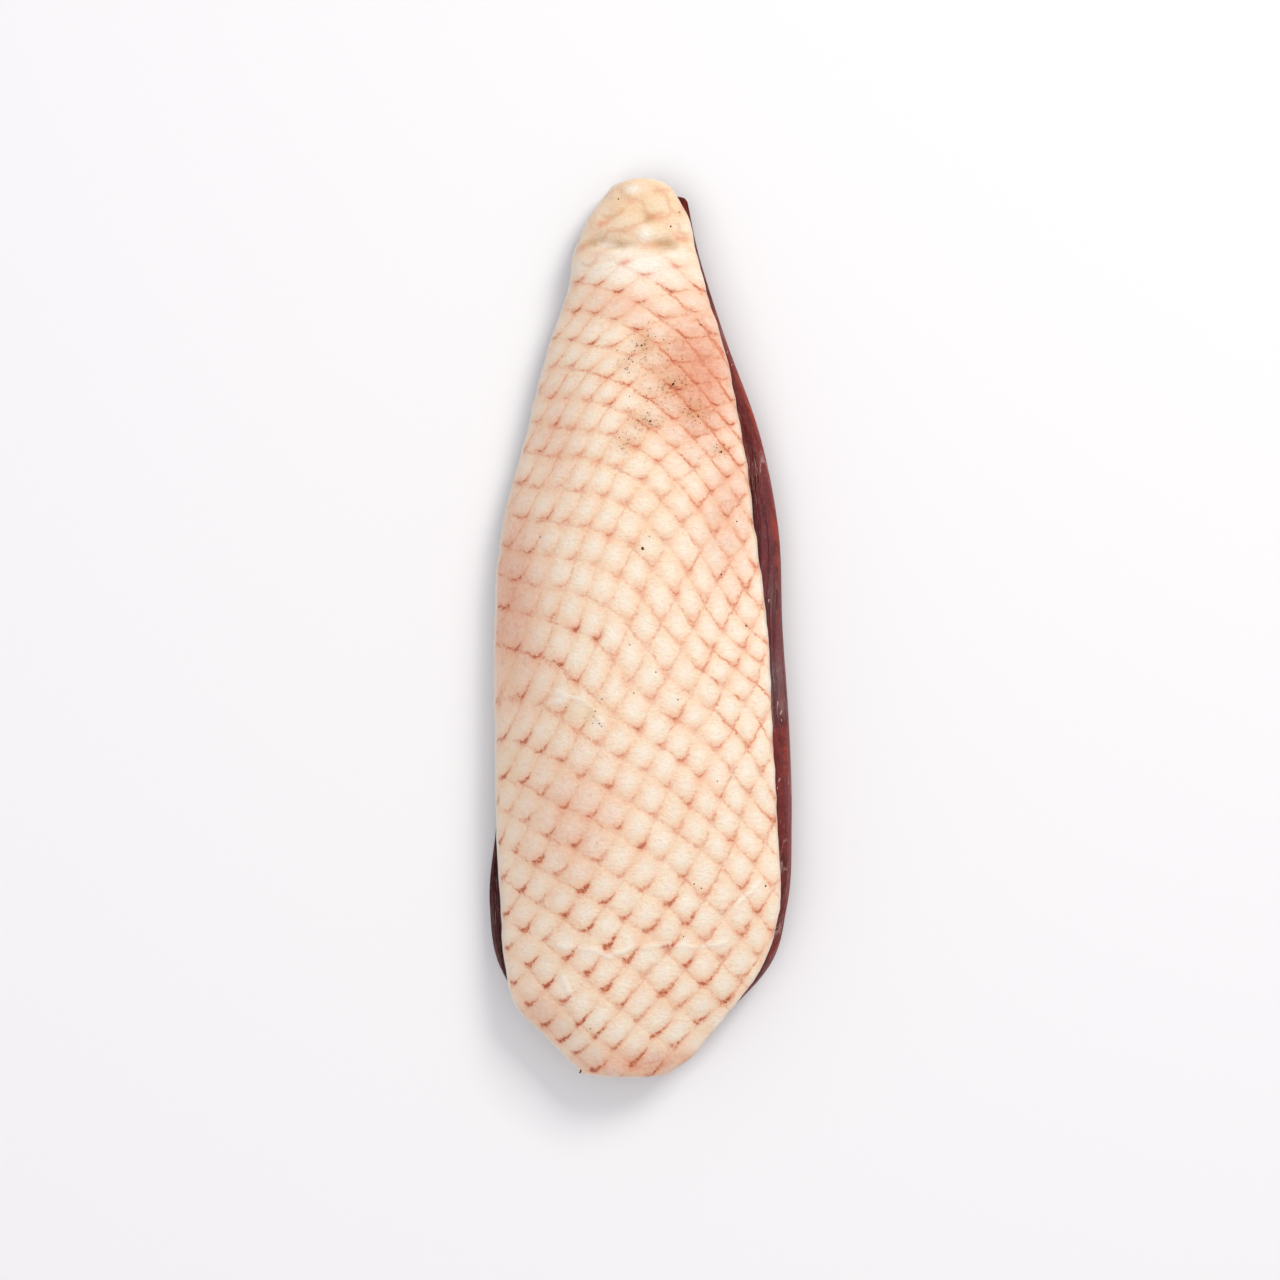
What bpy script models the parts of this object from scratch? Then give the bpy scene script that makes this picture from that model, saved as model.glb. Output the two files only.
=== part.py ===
"""A dried duck breast: a cured breast muscle under its own skin and fat.

It lies flat on its lean side with the skin up. +Y runs along it from the broad
tail to the narrow tip, +X points to the side where the lean shows most, and the
origin is on the table below the middle. Sizes are in millimetres until a vertex
is placed, and the finished meshes are in metres.
"""
import bmesh
import bpy
import numpy as np

MM = 0.001

# Overall length of the skin, from the tail's trimmed end to the round tip.
TAIL_Y = -114.7
TIP_Y = 113.4

# How far the middle of the two end edges bows outwards.
TIP_BOW = 1.9
TAIL_BOW = 0.6

# The outline in plan at stations along the breast. The lean shows past the
# skin all down the right side, and low on the left.
OUTLINE_COLUMNS = ("y", "skin left", "skin right", "lean left", "lean right")
OUTLINE = (
    (-115.0, -14.2, 5.6, -11.0, 3.5),
    (-110.0, -19.5, 12.6, -17.0, 10.4),
    (-105.0, -24.6, 16.8, -22.5, 15.0),
    (-98.0, -31.7, 22.5, -30.0, 22.4),
    (-88.0, -34.5, 29.8, -36.4, 32.8),
    (-72.0, -35.9, 34.8, -39.2, 37.7),
    (-50.0, -37.0, 34.3, -37.4, 38.9),
    (-25.0, -37.4, 33.0, -35.6, 38.2),
    (0.0, -37.5, 31.8, -35.6, 36.5),
    (25.0, -35.7, 28.6, -33.6, 35.5),
    (50.0, -29.3, 25.3, -27.4, 30.6),
    (75.0, -22.8, 19.9, -21.0, 21.7),
    (88.0, -18.2, 15.9, -16.2, 17.4),
    (96.0, -17.0, 13.8, -14.8, 15.0),
    (106.0, -12.8, 11.4, -10.0, 12.8),
    (113.4, -7.2, 7.0, -5.0, 11.5),
)
MEAT_TAIL_Y = -112.0
MEAT_TIP_Y = 111.6

# Heights above the table. The rims are where the lean stands out furthest.
HEIGHT_COLUMNS = ("y", "crest", "left edge", "right edge", "left rim", "right rim")
HEIGHTS = (
    (-115.0, 16.0, 12.5, 13.5, 6.0, 7.0),
    (-100.0, 21.5, 11.5, 16.5, 5.5, 7.0),
    (-75.0, 26.0, 10.5, 19.0, 4.5, 7.5),
    (-40.0, 28.5, 9.0, 20.5, 3.5, 8.0),
    (0.0, 28.5, 8.0, 20.0, 2.6, 8.5),
    (40.0, 26.0, 8.0, 18.5, 2.6, 8.0),
    (75.0, 21.0, 9.0, 16.0, 3.0, 7.5),
    (100.0, 16.5, 10.0, 13.5, 3.5, 7.5),
    (115.0, 14.0, 11.0, 12.0, 4.0, 8.0),
)

# How fast the skin falls away from its crest: a low power is a round side.
# Past the outline the same curve runs on a little, under the lean's shoulder.
LEFT_FALL = 2.4
RIGHT_FALL = 2.2
FURTHEST_ACROSS = 1.3

# The layer of skin and fat, its rounded edge, its slanted cut and the gap
# under it.
FAT_AT_CREST = 6.8
FAT_AT_EDGE = 4.8
EDGE_ROUND = 1.4
CUT_SLOPE = 0.5
GAP = 0.4

# The follicle net. Feather rows run two ways over the skin, and these count
# them at stations along the breast, on five lines side by side. A furrow runs
# wherever a count is a whole number, and the tip is bare of them.
NET_LINES = (-36.0, -18.0, 0.0, 18.0, 36.0)
NET_COLUMNS = ("y",) + NET_LINES
ROWS_UP = (
    (-120.0, 5.8, 8.1, 10.2, 12.8, 14.4),
    (-100.0, 3.6, 5.6, 8.0, 10.2, 11.9),
    (-80.0, 1.5, 3.7, 6.0, 8.2, 10.4),
    (-60.0, -0.6, 2.1, 4.3, 6.6, 8.7),
    (-40.0, -2.1, 0.7, 3.0, 5.5, 7.9),
    (-20.0, -3.9, -0.9, 1.7, 3.9, 6.5),
    (0.0, -4.9, -2.3, 0.4, 2.6, 5.4),
    (20.0, -6.2, -3.4, -0.7, 1.2, 3.8),
    (40.0, -8.2, -5.1, -2.3, -0.6, 1.8),
    (60.0, -10.6, -7.2, -4.5, -3.6, -1.6),
    (80.0, -13.2, -10.1, -7.6, -6.9, -5.4),
    (100.0, -15.6, -12.8, -10.6, -10.0, -9.2),
    (120.0, -17.6, -15.2, -13.4, -12.9, -12.4),
)
ROWS_OVER = (
    (-120.0, -16.1, -13.3, -11.5, -10.3, -8.8),
    (-100.0, -13.6, -11.1, -9.9, -8.6, -6.9),
    (-80.0, -10.7, -9.5, -8.3, -6.8, -4.9),
    (-60.0, -8.5, -7.4, -6.4, -5.1, -3.0),
    (-40.0, -6.2, -5.4, -4.4, -2.9, -0.3),
    (-20.0, -4.1, -3.6, -2.3, -0.9, 1.3),
    (0.0, -2.6, -2.0, -0.7, 1.7, 3.8),
    (20.0, -0.2, 0.3, 1.2, 3.6, 6.5),
    (40.0, 2.1, 2.6, 3.4, 5.7, 8.8),
    (60.0, 4.3, 5.2, 6.1, 8.4, 11.4),
    (80.0, 6.8, 7.8, 8.7, 10.7, 13.6),
    (100.0, 9.2, 10.3, 11.2, 12.9, 15.2),
    (120.0, 11.6, 12.6, 13.6, 15.0, 16.6),
)
FURROW_DEPTH = 0.45
BARE_TIP_Y = 92.0
BARE_TIP_FADE = 10.0

# One fold crosses the skin under the tip and sags towards its edges.
FOLD_Y = 98.0
FOLD_DEPTH = 1.5
FOLD_WIDTH = 3.2
FOLD_SAG = 0.02

# A long wavy crease stands up above the tail and fades out at its two ends.
CREASE_Y = -81.5
CREASE_MIDDLE_X = 1.0
CREASE_HALF_LENGTH = 20.0
CREASE_FADE = 8.0
CREASE_HEIGHT = 0.5
CREASE_WIDTH = 1.6
CREASE_WAVE = 1.3
CREASE_WAVE_LENGTH = 38.0

# The lean's flat underside rounds up to a rim at its sides and ends, and its
# grain shows as fine ridges along the right side.
BELLY_ROUND = 9.0
END_LIFT = 3.5
RIM_WALL = 1.0
TUCK = 0.5
LEAST_SHELF = 0.5
GRAIN_DEPTH = 0.35
GRAIN_PITCH = 2.6

# Faces across and along the upper side of each piece, and how many times
# coarser its underside is.
SKIN_GRID = (44, 92)
SKIN_COARSER = 4
MEAT_GRID = (24, 44)
MEAT_COARSER = 2

# How far the faces crowd towards the edges, from 0 for even to 1.
SKIN_CROWDING = 0.3
MEAT_CROWDING = 0.65
END_CROWDING = 0.15

# How sharply the two end edges bow: only the last rows follow the bow.
BOW_POWER = 10


def clear_scene():
    """Remove every object that is already in the file."""
    for thing in list(bpy.data.objects):
        bpy.data.objects.remove(thing)


def smooth(table, columns, name, y):
    """Read a smooth curve through one named column of a table of stations."""
    stations = np.array([row[0] for row in table])
    values = np.array([row[columns.index(name)] for row in table])
    slopes = np.gradient(values, stations)
    y = np.clip(y, stations[0], stations[-1])
    low = np.clip(np.searchsorted(stations, y) - 1, 0, len(stations) - 2)
    step = stations[low + 1] - stations[low]
    part = (y - stations[low]) / step
    rise = values[low + 1] - values[low]
    start = slopes[low] * step
    end = slopes[low + 1] * step
    bend = 3 * rise - 2 * start - end
    return values[low] + part * (start + part * (bend + part * (start + end - 2 * rise)))


def outline(name, y):
    """Side to side place of one edge at a station along the breast."""
    return smooth(OUTLINE, OUTLINE_COLUMNS, name, y)


def level(name, y):
    """Height of one line of the breast at a station along it."""
    return smooth(HEIGHTS, HEIGHT_COLUMNS, name, y)


def bump(offset, width):
    """A smooth hump, 1 in its middle and gone at about two widths."""
    return np.exp(-(offset / width) ** 2)


def quarter_round(part):
    """Rise of a quarter circle, from 0 at its flat start to 1 at its steep end."""
    return 1 - np.sqrt(1 - np.clip(part, 0, 1) ** 2)


def crowd(place, crowding):
    """Move a place from -1 to 1 towards the nearer end."""
    return (1 - crowding) * place + crowding * np.sin(np.pi / 2 * place)


def rows(net, x, y):
    """Count the follicle rows one way at a place on the skin."""
    count = 0.0
    for line in NET_LINES:
        share = 1.0
        for other in NET_LINES:
            if other != line:
                share = share * (x - other) / (line - other)
        count = count + share * smooth(net, NET_COLUMNS, line, y)
    return count


def quilting(x, y):
    """Depth of the furrows that part the skin into small cushions."""
    furrows = np.cos(np.pi * rows(ROWS_UP, x, y)) ** 4 + np.cos(np.pi * rows(ROWS_OVER, x, y)) ** 4
    return FURROW_DEPTH * furrows * np.clip((BARE_TIP_Y - y) / BARE_TIP_FADE, 0, 1)


def crease(x, y):
    """Height of the long crease above the tail."""
    path = CREASE_Y + CREASE_WAVE * np.sin(2 * np.pi * x / CREASE_WAVE_LENGTH)
    past_end = np.abs(x - CREASE_MIDDLE_X) - CREASE_HALF_LENGTH
    return CREASE_HEIGHT * bump(y - path, CREASE_WIDTH) * np.clip(-past_end / CREASE_FADE, 0, 1)


def across_skin(x, y):
    """Place across the skin, from -1 at its left edge to 1 at its right."""
    left = outline("skin left", y)
    right = outline("skin right", y)
    return (2 * x - left - right) / (right - left)


def arch(x, y):
    """Height of the smooth upper side of the skin, without its relief."""
    place = across_skin(x, y)
    crest = level("crest", y)
    left_fall = (crest - level("left edge", y)) * np.clip(-place, 0, FURTHEST_ACROSS) ** LEFT_FALL
    right_fall = (crest - level("right edge", y)) * np.clip(place, 0, FURTHEST_ACROSS) ** RIGHT_FALL
    return crest - left_fall - right_fall


def fat_underside(x, y):
    """Height of the inner side of the fat, thickest along the middle."""
    place = np.clip(across_skin(x, y), -1, 1)
    return arch(x, y) - FAT_AT_EDGE - (FAT_AT_CREST - FAT_AT_EDGE) * (1 - place ** 2)


def skin_plan(side, run):
    """Plan position of a point of the skin. Both inputs run from -1 to 1."""
    side = crowd(side, SKIN_CROWDING)
    run = crowd(run, END_CROWDING)
    y = TAIL_Y + (TIP_Y - TAIL_Y) * (run + 1) / 2
    left = outline("skin left", y)
    right = outline("skin right", y)
    x = left + (right - left) * (side + 1) / 2
    inward = min(x - left, right - x, y - TAIL_Y, TIP_Y - y)
    bow = TIP_BOW * max(run, 0) ** BOW_POWER - TAIL_BOW * max(-run, 0) ** BOW_POWER
    return x, y + (1 - side ** 2) * bow, inward


def skin_top(side, run):
    """A point of the skin, with its furrows, fold, crease and rounded edge."""
    x, y, inward = skin_plan(side, run)
    fold = FOLD_DEPTH * bump(y - FOLD_Y + FOLD_SAG * x * x, FOLD_WIDTH)
    rounding = EDGE_ROUND * quarter_round(1 - inward / EDGE_ROUND)
    return x, y, arch(x, y) - quilting(x, y) - fold + crease(x, y) - rounding


def skin_under(side, run):
    """A point of the fat's inner side, which the cut leaves a little wider."""
    x, y, _ = skin_plan(side, run)
    return x + CUT_SLOPE * side, y, fat_underside(x, y)


def meat_plan(side, run):
    """Plan position of a point of the lean, and its distance in from each side."""
    y = MEAT_TAIL_Y + (MEAT_TIP_Y - MEAT_TAIL_Y) * (crowd(run, END_CROWDING) + 1) / 2
    left = outline("lean left", y)
    right = outline("lean right", y)
    x = left + (right - left) * (crowd(side, MEAT_CROWDING) + 1) / 2
    return x, y, x - left, right - x


def shoulder(past_skin, from_rim, top, rim):
    """Height of the lean where it bulges out past the skin, down to its rim."""
    part = past_skin / max(past_skin + from_rim, LEAST_SHELF)
    return top - max(top - rim, 0) * quarter_round(part)


def meat_top(side, run):
    """The lean follows the fat's inner side, then bulges out past its edges."""
    x, y, from_left, from_right = meat_plan(side, run)
    skin_left = outline("skin left", y)
    skin_right = outline("skin right", y)
    height = fat_underside(np.clip(x, skin_left, skin_right), y) - GAP
    past_left = skin_left + TUCK - x
    past_right = x - skin_right + TUCK
    if past_right > 0:
        height = shoulder(past_right, from_right, height, level("right rim", y) + RIM_WALL / 2)
        height = height - GRAIN_DEPTH * abs(np.sin(2 * np.pi * from_right / GRAIN_PITCH))
    if past_left > 0:
        height = shoulder(past_left, from_left, height, level("left rim", y) + RIM_WALL / 2)
    return x, y, height


def meat_under(side, run):
    """The underside is flat on the table and rounds up to the rim."""
    x, y, from_left, from_right = meat_plan(side, run)
    from_end = min(y - MEAT_TAIL_Y, MEAT_TIP_Y - y)
    left_lift = (level("left rim", y) - RIM_WALL / 2) * quarter_round(1 - from_left / BELLY_ROUND)
    right_lift = (level("right rim", y) - RIM_WALL / 2) * quarter_round(1 - from_right / BELLY_ROUND)
    end_lift = END_LIFT * quarter_round(1 - from_end / BELLY_ROUND)
    return x, y, max(left_lift + right_lift, end_lift)


def grid_side(mesh, grid, place):
    """Add one side of a slab as a grid and lay it where it belongs."""
    made = bmesh.ops.create_grid(mesh, x_segments=grid[0], y_segments=grid[1], size=1.0)
    for corner in made["verts"]:
        x, y, z = place(corner.co.x, corner.co.y)
        corner.co = (x * MM, y * MM, z * MM)


def slab(name, grid, coarser, top, under, material, collection):
    """A closed slab: a fine upper side, a plainer underside and a rim."""
    mesh = bmesh.new()
    grid_side(mesh, grid, top)
    grid_side(mesh, (grid[0] // coarser, grid[1] // coarser), under)
    bmesh.ops.bridge_loops(mesh, edges=[edge for edge in mesh.edges if edge.is_boundary])
    bmesh.ops.triangulate(mesh, faces=mesh.faces)
    bmesh.ops.recalc_face_normals(mesh, faces=mesh.faces)
    data = bpy.data.meshes.new(name)
    mesh.to_mesh(data)
    mesh.free()
    data.materials.append(material)
    data.shade_smooth()
    data.set_sharp_from_angle(angle=np.radians(50))
    body = bpy.data.objects.new(name, data)
    collection.objects.link(body)


def plain_material(name, colour, roughness):
    """A plain coloured surface, with its colour given as linear red, green, blue."""
    material = bpy.data.materials.new(name)
    material.use_nodes = True
    shader = material.node_tree.nodes["Principled BSDF"]
    shader.inputs["Base Color"].default_value = (*colour, 1.0)
    shader.inputs["Roughness"].default_value = roughness
    shader.inputs["Metallic"].default_value = 0.0
    return material


def main():
    clear_scene()
    collection = bpy.data.collections.new("dried_duck_breast")
    bpy.context.scene.collection.children.link(collection)
    skin = plain_material("cured duck skin", (0.93, 0.76, 0.60), 0.45)
    lean = plain_material("dried duck lean", (0.12, 0.025, 0.03), 0.40)
    slab("skin_and_fat", SKIN_GRID, SKIN_COARSER, skin_top, skin_under, skin, collection)
    slab("breast_meat", MEAT_GRID, MEAT_COARSER, meat_top, meat_under, lean, collection)


main()
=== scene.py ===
# %% [markdown]
# # A dried duck breast
# A whole duck breast, salted and hung to dry, lies on its lean side with the
# skin up. Two layers show. On top is the cream skin with its fat, quilted by
# the rows of follicles that the feathers left. Under it is the lean, dried to
# a dark maroon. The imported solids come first, because each layer made here
# takes the place of one of them and has to keep its form.

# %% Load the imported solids
import math
import random

import bpy
import numpy as np
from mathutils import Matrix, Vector, noise


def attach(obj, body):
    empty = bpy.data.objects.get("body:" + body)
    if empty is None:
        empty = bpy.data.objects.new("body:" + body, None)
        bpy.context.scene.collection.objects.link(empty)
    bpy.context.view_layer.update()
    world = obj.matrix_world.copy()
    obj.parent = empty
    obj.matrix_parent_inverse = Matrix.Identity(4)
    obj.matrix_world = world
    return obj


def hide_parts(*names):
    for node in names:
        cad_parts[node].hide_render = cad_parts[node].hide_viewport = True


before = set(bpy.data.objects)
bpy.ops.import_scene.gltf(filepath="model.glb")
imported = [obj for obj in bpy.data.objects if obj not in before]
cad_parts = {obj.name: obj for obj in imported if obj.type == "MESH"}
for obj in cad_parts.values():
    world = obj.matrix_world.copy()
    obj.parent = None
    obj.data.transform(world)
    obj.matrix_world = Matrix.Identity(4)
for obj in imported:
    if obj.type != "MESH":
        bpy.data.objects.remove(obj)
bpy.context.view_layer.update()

# %% [markdown]
# Lengths are easier to judge in millimetres, so every size below is in
# millimetres, and one factor turns it to Blender's metres. Operators act on
# all that is selected, so one helper lets go of everything first. Colours are
# written as the hex values an eye would pick, and one function turns them to
# the linear values that a shader mixes. Another adds one shader node. It takes
# inputs by name or by number: on a Map Range, 1 and 2 are the range that comes
# in and 3 and 4 the range that goes out. On a Mix of colours, 0 is the share
# and 6 and 7 are the colours.

# %% Small helpers
MM = 0.001


def let_go():
    """Deselect everything, so that the next operator acts on new work alone."""
    bpy.ops.object.select_all(action="DESELECT")


def linear(hex_colour):
    """Turn an sRGB hex colour to linear red, green, blue and alpha."""
    shares = [int(hex_colour[start:start + 2], 16) / 255 for start in (1, 3, 5)]
    return [s / 12.92 if s <= 0.04045 else ((s + 0.055) / 1.055) ** 2.4 for s in shares] + [1.0]


def add(tree, kind, inputs=None, **settings):
    """Add one node, set its properties and fill its inputs with values or links.

    A node given as an input stands for its first output.
    """
    made = tree.nodes.new(kind)
    for name, value in settings.items():
        setattr(made, name, value)
    for name, value in (inputs or {}).items():
        if isinstance(value, bpy.types.Node):
            value = value.outputs[0]
        if isinstance(value, bpy.types.NodeSocket):
            tree.links.new(value, made.inputs[name])
        else:
            made.inputs[name].default_value = value
    return made


print("one unit here is", MM, "m")

# %% [markdown]
# The photograph looks straight down on the breast. A camera about 0.9 m up
# with a long lens gives the same flat view, and its frame is 329 mm wide
# where the breast lies. The floor is a plain pale sheet.

# %% The camera and the floor
CAMERA_HEIGHT = 926.0
CAMERA_X = -0.26
CAMERA_Y = -3.2
LENS = 100.0
SENSOR = 36.0
FLOOR_SIZE = 4000.0

let_go()
bpy.ops.object.camera_add(location=(CAMERA_X * MM, CAMERA_Y * MM, CAMERA_HEIGHT * MM), rotation=(0, 0, 0))
camera = bpy.context.object
camera.name = "photo_camera"
camera.data.lens = LENS
camera.data.sensor_width = SENSOR
camera.data.clip_start = 10 * MM
bpy.context.scene.camera = camera

let_go()
bpy.ops.mesh.primitive_plane_add(size=FLOOR_SIZE * MM, location=(0, 0, 0))
floor = bpy.context.object
floor.name = "pale_floor"
print("camera at", tuple(round(v, 4) for v in camera.location))

# %% [markdown]
# Two soft boxes light the breast. The key stands beyond the narrow tip, to the
# right, half way up. It throws the soft shadow at the left and the longer one
# below the broad tail. The fill hangs almost overhead, and a pale sky opens
# the shadows. Each box is placed by its bearing from the right, its height in
# degrees, its width in metres and its power in watts.

# %% The lights
SOFT_BOXES = (
    ("key_soft_box", 50.0, 42.0, 0.55, 12.0, "#FFFDF8"),
    ("fill_soft_box", 215.0, 70.0, 1.0, 5.8, "#FFFFFF"),
)
BOX_DISTANCE = 1.5
SKY_COLOUR = "#FDFAFF"
SKY_STRENGTH = 0.51

for name, bearing, height, size, power, tint in SOFT_BOXES:
    turn = math.radians(bearing)
    rise = math.radians(height)
    aim = Vector((math.cos(rise) * math.cos(turn), math.cos(rise) * math.sin(turn), math.sin(rise)))
    let_go()
    bpy.ops.object.light_add(type="AREA", location=aim * BOX_DISTANCE)
    box = bpy.context.object
    box.name = name
    box.data.shape = "SQUARE"
    box.data.size = size
    box.data.energy = power
    box.data.color = linear(tint)[:3]
    box.rotation_euler = aim.to_track_quat("Z", "Y").to_euler()
    print(name, "stands", BOX_DISTANCE, "m away at bearing", bearing)

world = bpy.data.worlds.new("pale_sky")
world.use_nodes = True
world.node_tree.nodes["Background"].inputs["Color"].default_value = linear(SKY_COLOUR)
world.node_tree.nodes["Background"].inputs["Strength"].default_value = SKY_STRENGTH
bpy.context.scene.world = world
bpy.context.scene.view_settings.view_transform = "Standard"
print("sky strength", SKY_STRENGTH)

# %% [markdown]
# Both layers are cut to one long outline, and their heights change slowly
# along the breast. Stations hold those sizes, and a smooth curve joins them.
# The solids were built from the same ones, apart from the lean's right side
# near the tail, which bulges a millimetre further here.

# %% Stations along the breast
TAIL_Y = -114.7
TIP_Y = 113.4
OUTLINE_COLUMNS = ("y", "skin left", "skin right", "lean left", "lean right")
OUTLINE = (
    (-115.0, -14.2, 5.6, -11.0, 3.5),
    (-110.0, -19.5, 12.6, -17.0, 10.4),
    (-105.0, -24.6, 16.8, -22.5, 15.0),
    (-98.0, -31.7, 22.5, -30.0, 23.6),
    (-88.0, -34.5, 29.8, -36.4, 32.8),
    (-72.0, -35.9, 34.8, -39.2, 37.7),
    (-50.0, -37.0, 34.3, -37.4, 38.9),
    (-25.0, -37.4, 33.0, -35.6, 38.2),
    (0.0, -37.5, 31.8, -35.6, 36.5),
    (25.0, -35.7, 28.6, -33.6, 35.5),
    (50.0, -29.3, 25.3, -27.4, 30.6),
    (75.0, -22.8, 19.9, -21.0, 21.7),
    (88.0, -18.2, 15.9, -16.2, 17.4),
    (96.0, -17.0, 13.8, -14.8, 15.0),
    (106.0, -12.8, 11.4, -10.0, 12.8),
    (113.4, -7.2, 7.0, -5.0, 11.5),
)
HEIGHT_COLUMNS = ("y", "crest", "left edge", "right edge", "left rim", "right rim")
HEIGHTS = (
    (-115.0, 16.0, 12.5, 13.5, 6.0, 7.0),
    (-100.0, 21.5, 11.5, 16.5, 5.5, 7.0),
    (-75.0, 26.0, 10.5, 19.0, 4.5, 7.5),
    (-40.0, 28.5, 9.0, 20.5, 3.5, 8.0),
    (0.0, 28.5, 8.0, 20.0, 2.6, 8.5),
    (40.0, 26.0, 8.0, 18.5, 2.6, 8.0),
    (75.0, 21.0, 9.0, 16.0, 3.0, 7.5),
    (100.0, 16.5, 10.0, 13.5, 3.5, 7.5),
    (115.0, 14.0, 11.0, 12.0, 4.0, 8.0),
)


def smooth(table, columns, name, y):
    """Read a smooth curve through one named column of a table of stations."""
    stations = np.array([row[0] for row in table])
    values = np.array([row[columns.index(name)] for row in table])
    slopes = np.gradient(values, stations)
    y = np.clip(y, stations[0], stations[-1])
    low = np.clip(np.searchsorted(stations, y) - 1, 0, len(stations) - 2)
    step = stations[low + 1] - stations[low]
    part = (y - stations[low]) / step
    rise = values[low + 1] - values[low]
    start = slopes[low] * step
    end = slopes[low + 1] * step
    bend = 3 * rise - 2 * start - end
    return values[low] + part * (start + part * (bend + part * (start + end - 2 * rise)))


def outline(name, y):
    """Side to side place of one edge at a station along the breast."""
    return smooth(OUTLINE, OUTLINE_COLUMNS, name, y)


def level(name, y):
    """Height of one line of the breast at a station along it."""
    return smooth(HEIGHTS, HEIGHT_COLUMNS, name, y)


print("width at the middle:", outline("lean right", 0.0) - outline("skin left", 0.0), "mm")

# %% [markdown]
# Feathers grow in rows that cross the breast two ways, so their follicles form
# a net of slanted cells that turns slowly from the tail to the tip. A texture
# could repeat one straight grid, but the real rows fan and bend. Here a small
# table counts the rows at the left edge, the middle and the right edge, and
# every place on the skin then has two row numbers. Whole numbers are furrows.
# Soft noise makes the rows wander as they do on skin.

# %% The follicle net
NET_LINES = (-36.0, -18.0, 0.0, 18.0, 36.0)
NET_COLUMNS = ("y",) + NET_LINES
ROWS_UP = (
    (-120.0, 5.8, 8.1, 10.2, 12.8, 14.4),
    (-100.0, 3.6, 5.6, 8.0, 10.2, 11.9),
    (-80.0, 1.5, 3.7, 6.0, 8.2, 10.4),
    (-60.0, -0.6, 2.1, 4.3, 6.6, 8.7),
    (-40.0, -2.1, 0.7, 3.0, 5.5, 7.9),
    (-20.0, -3.9, -0.9, 1.7, 3.9, 6.5),
    (0.0, -4.9, -2.3, 0.4, 2.6, 5.4),
    (20.0, -6.2, -3.4, -0.7, 1.2, 3.8),
    (40.0, -8.2, -5.1, -2.3, -0.6, 1.8),
    (60.0, -10.6, -7.2, -4.5, -3.6, -1.6),
    (80.0, -13.2, -10.1, -7.6, -6.9, -5.4),
    (100.0, -15.6, -12.8, -10.6, -10.0, -9.2),
    (120.0, -17.6, -15.2, -13.4, -12.9, -12.4),
)
ROWS_OVER = (
    (-120.0, -16.1, -13.3, -11.5, -10.3, -8.8),
    (-100.0, -13.6, -11.1, -9.9, -8.6, -6.9),
    (-80.0, -10.7, -9.5, -8.3, -6.8, -4.9),
    (-60.0, -8.5, -7.4, -6.4, -5.1, -3.0),
    (-40.0, -6.2, -5.4, -4.4, -2.9, -0.3),
    (-20.0, -4.1, -3.6, -2.3, -0.9, 1.3),
    (0.0, -2.6, -2.0, -0.7, 1.7, 3.8),
    (20.0, -0.2, 0.3, 1.2, 3.6, 6.5),
    (40.0, 2.1, 2.6, 3.4, 5.7, 8.8),
    (60.0, 4.3, 5.2, 6.1, 8.4, 11.4),
    (80.0, 6.8, 7.8, 8.7, 10.7, 13.6),
    (100.0, 9.2, 10.3, 11.2, 12.9, 15.2),
    (120.0, 11.6, 12.6, 13.6, 15.0, 16.6),
)
WANDER = 0.07
WANDER_GRAIN = 9.0


def lumps(x, y, grain, seed, octaves=2):
    """Soft noise from about -1 to 1 with lumps of a size in millimetres."""
    places = zip(np.ravel(x) / grain, np.ravel(y) / grain)
    values = [noise.fractal(Vector((a, b, seed)), 1.0, 2.0, octaves) for a, b in places]
    return np.array(values).reshape(np.shape(x))


def rows(net, x, y):
    """Count the follicle rows one way at places on the skin."""
    count = WANDER * lumps(x, y, WANDER_GRAIN, net[0][1])
    for line in NET_LINES:
        share = 1.0
        for other in NET_LINES:
            if other != line:
                share = share * (x - other) / (line - other)
        count = count + share * smooth(net, NET_COLUMNS, line, y)
    return count


print("rows across the middle:", rows(ROWS_UP, np.array([-36.0, 36.0]), np.array([0.0, 0.0])))

# %% [markdown]
# Each follicle sits where two rows cross, at the lower corner of its cell. The
# furrow is deepest there and runs out along both rows, up to the right and up
# to the left, before it fades. So the depth along a row depends on how far it
# is to the last crossing.

# %% Furrows, cushions and follicle pits
FURROW_DEPTH = 0.07
CUSHION_RISE = 0.26
PIT_DEPTH = 0.09
FURROW_WIDTH = 0.09
PIT_WIDTH = 0.11
ARM_LENGTH = 0.42
ARM_REST = 0.35
ARM_BACK = 0.1
DOME_POWER = 0.6
UNEVENNESS = 0.55
UNEVEN_GRAIN = 8.0
BARE_TIP_Y = 93.0
TIP_SHARE = 0.35


def hump(offset, width):
    """A smooth hump, 1 in its middle and gone at about two widths."""
    return np.exp(-(offset / width) ** 2)


def ease(value, start, end):
    """Rise smoothly from 0 at the start to 1 at the end."""
    part = np.clip((value - start) / (end - start), 0, 1)
    return part * part * (3 - 2 * part)


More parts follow.
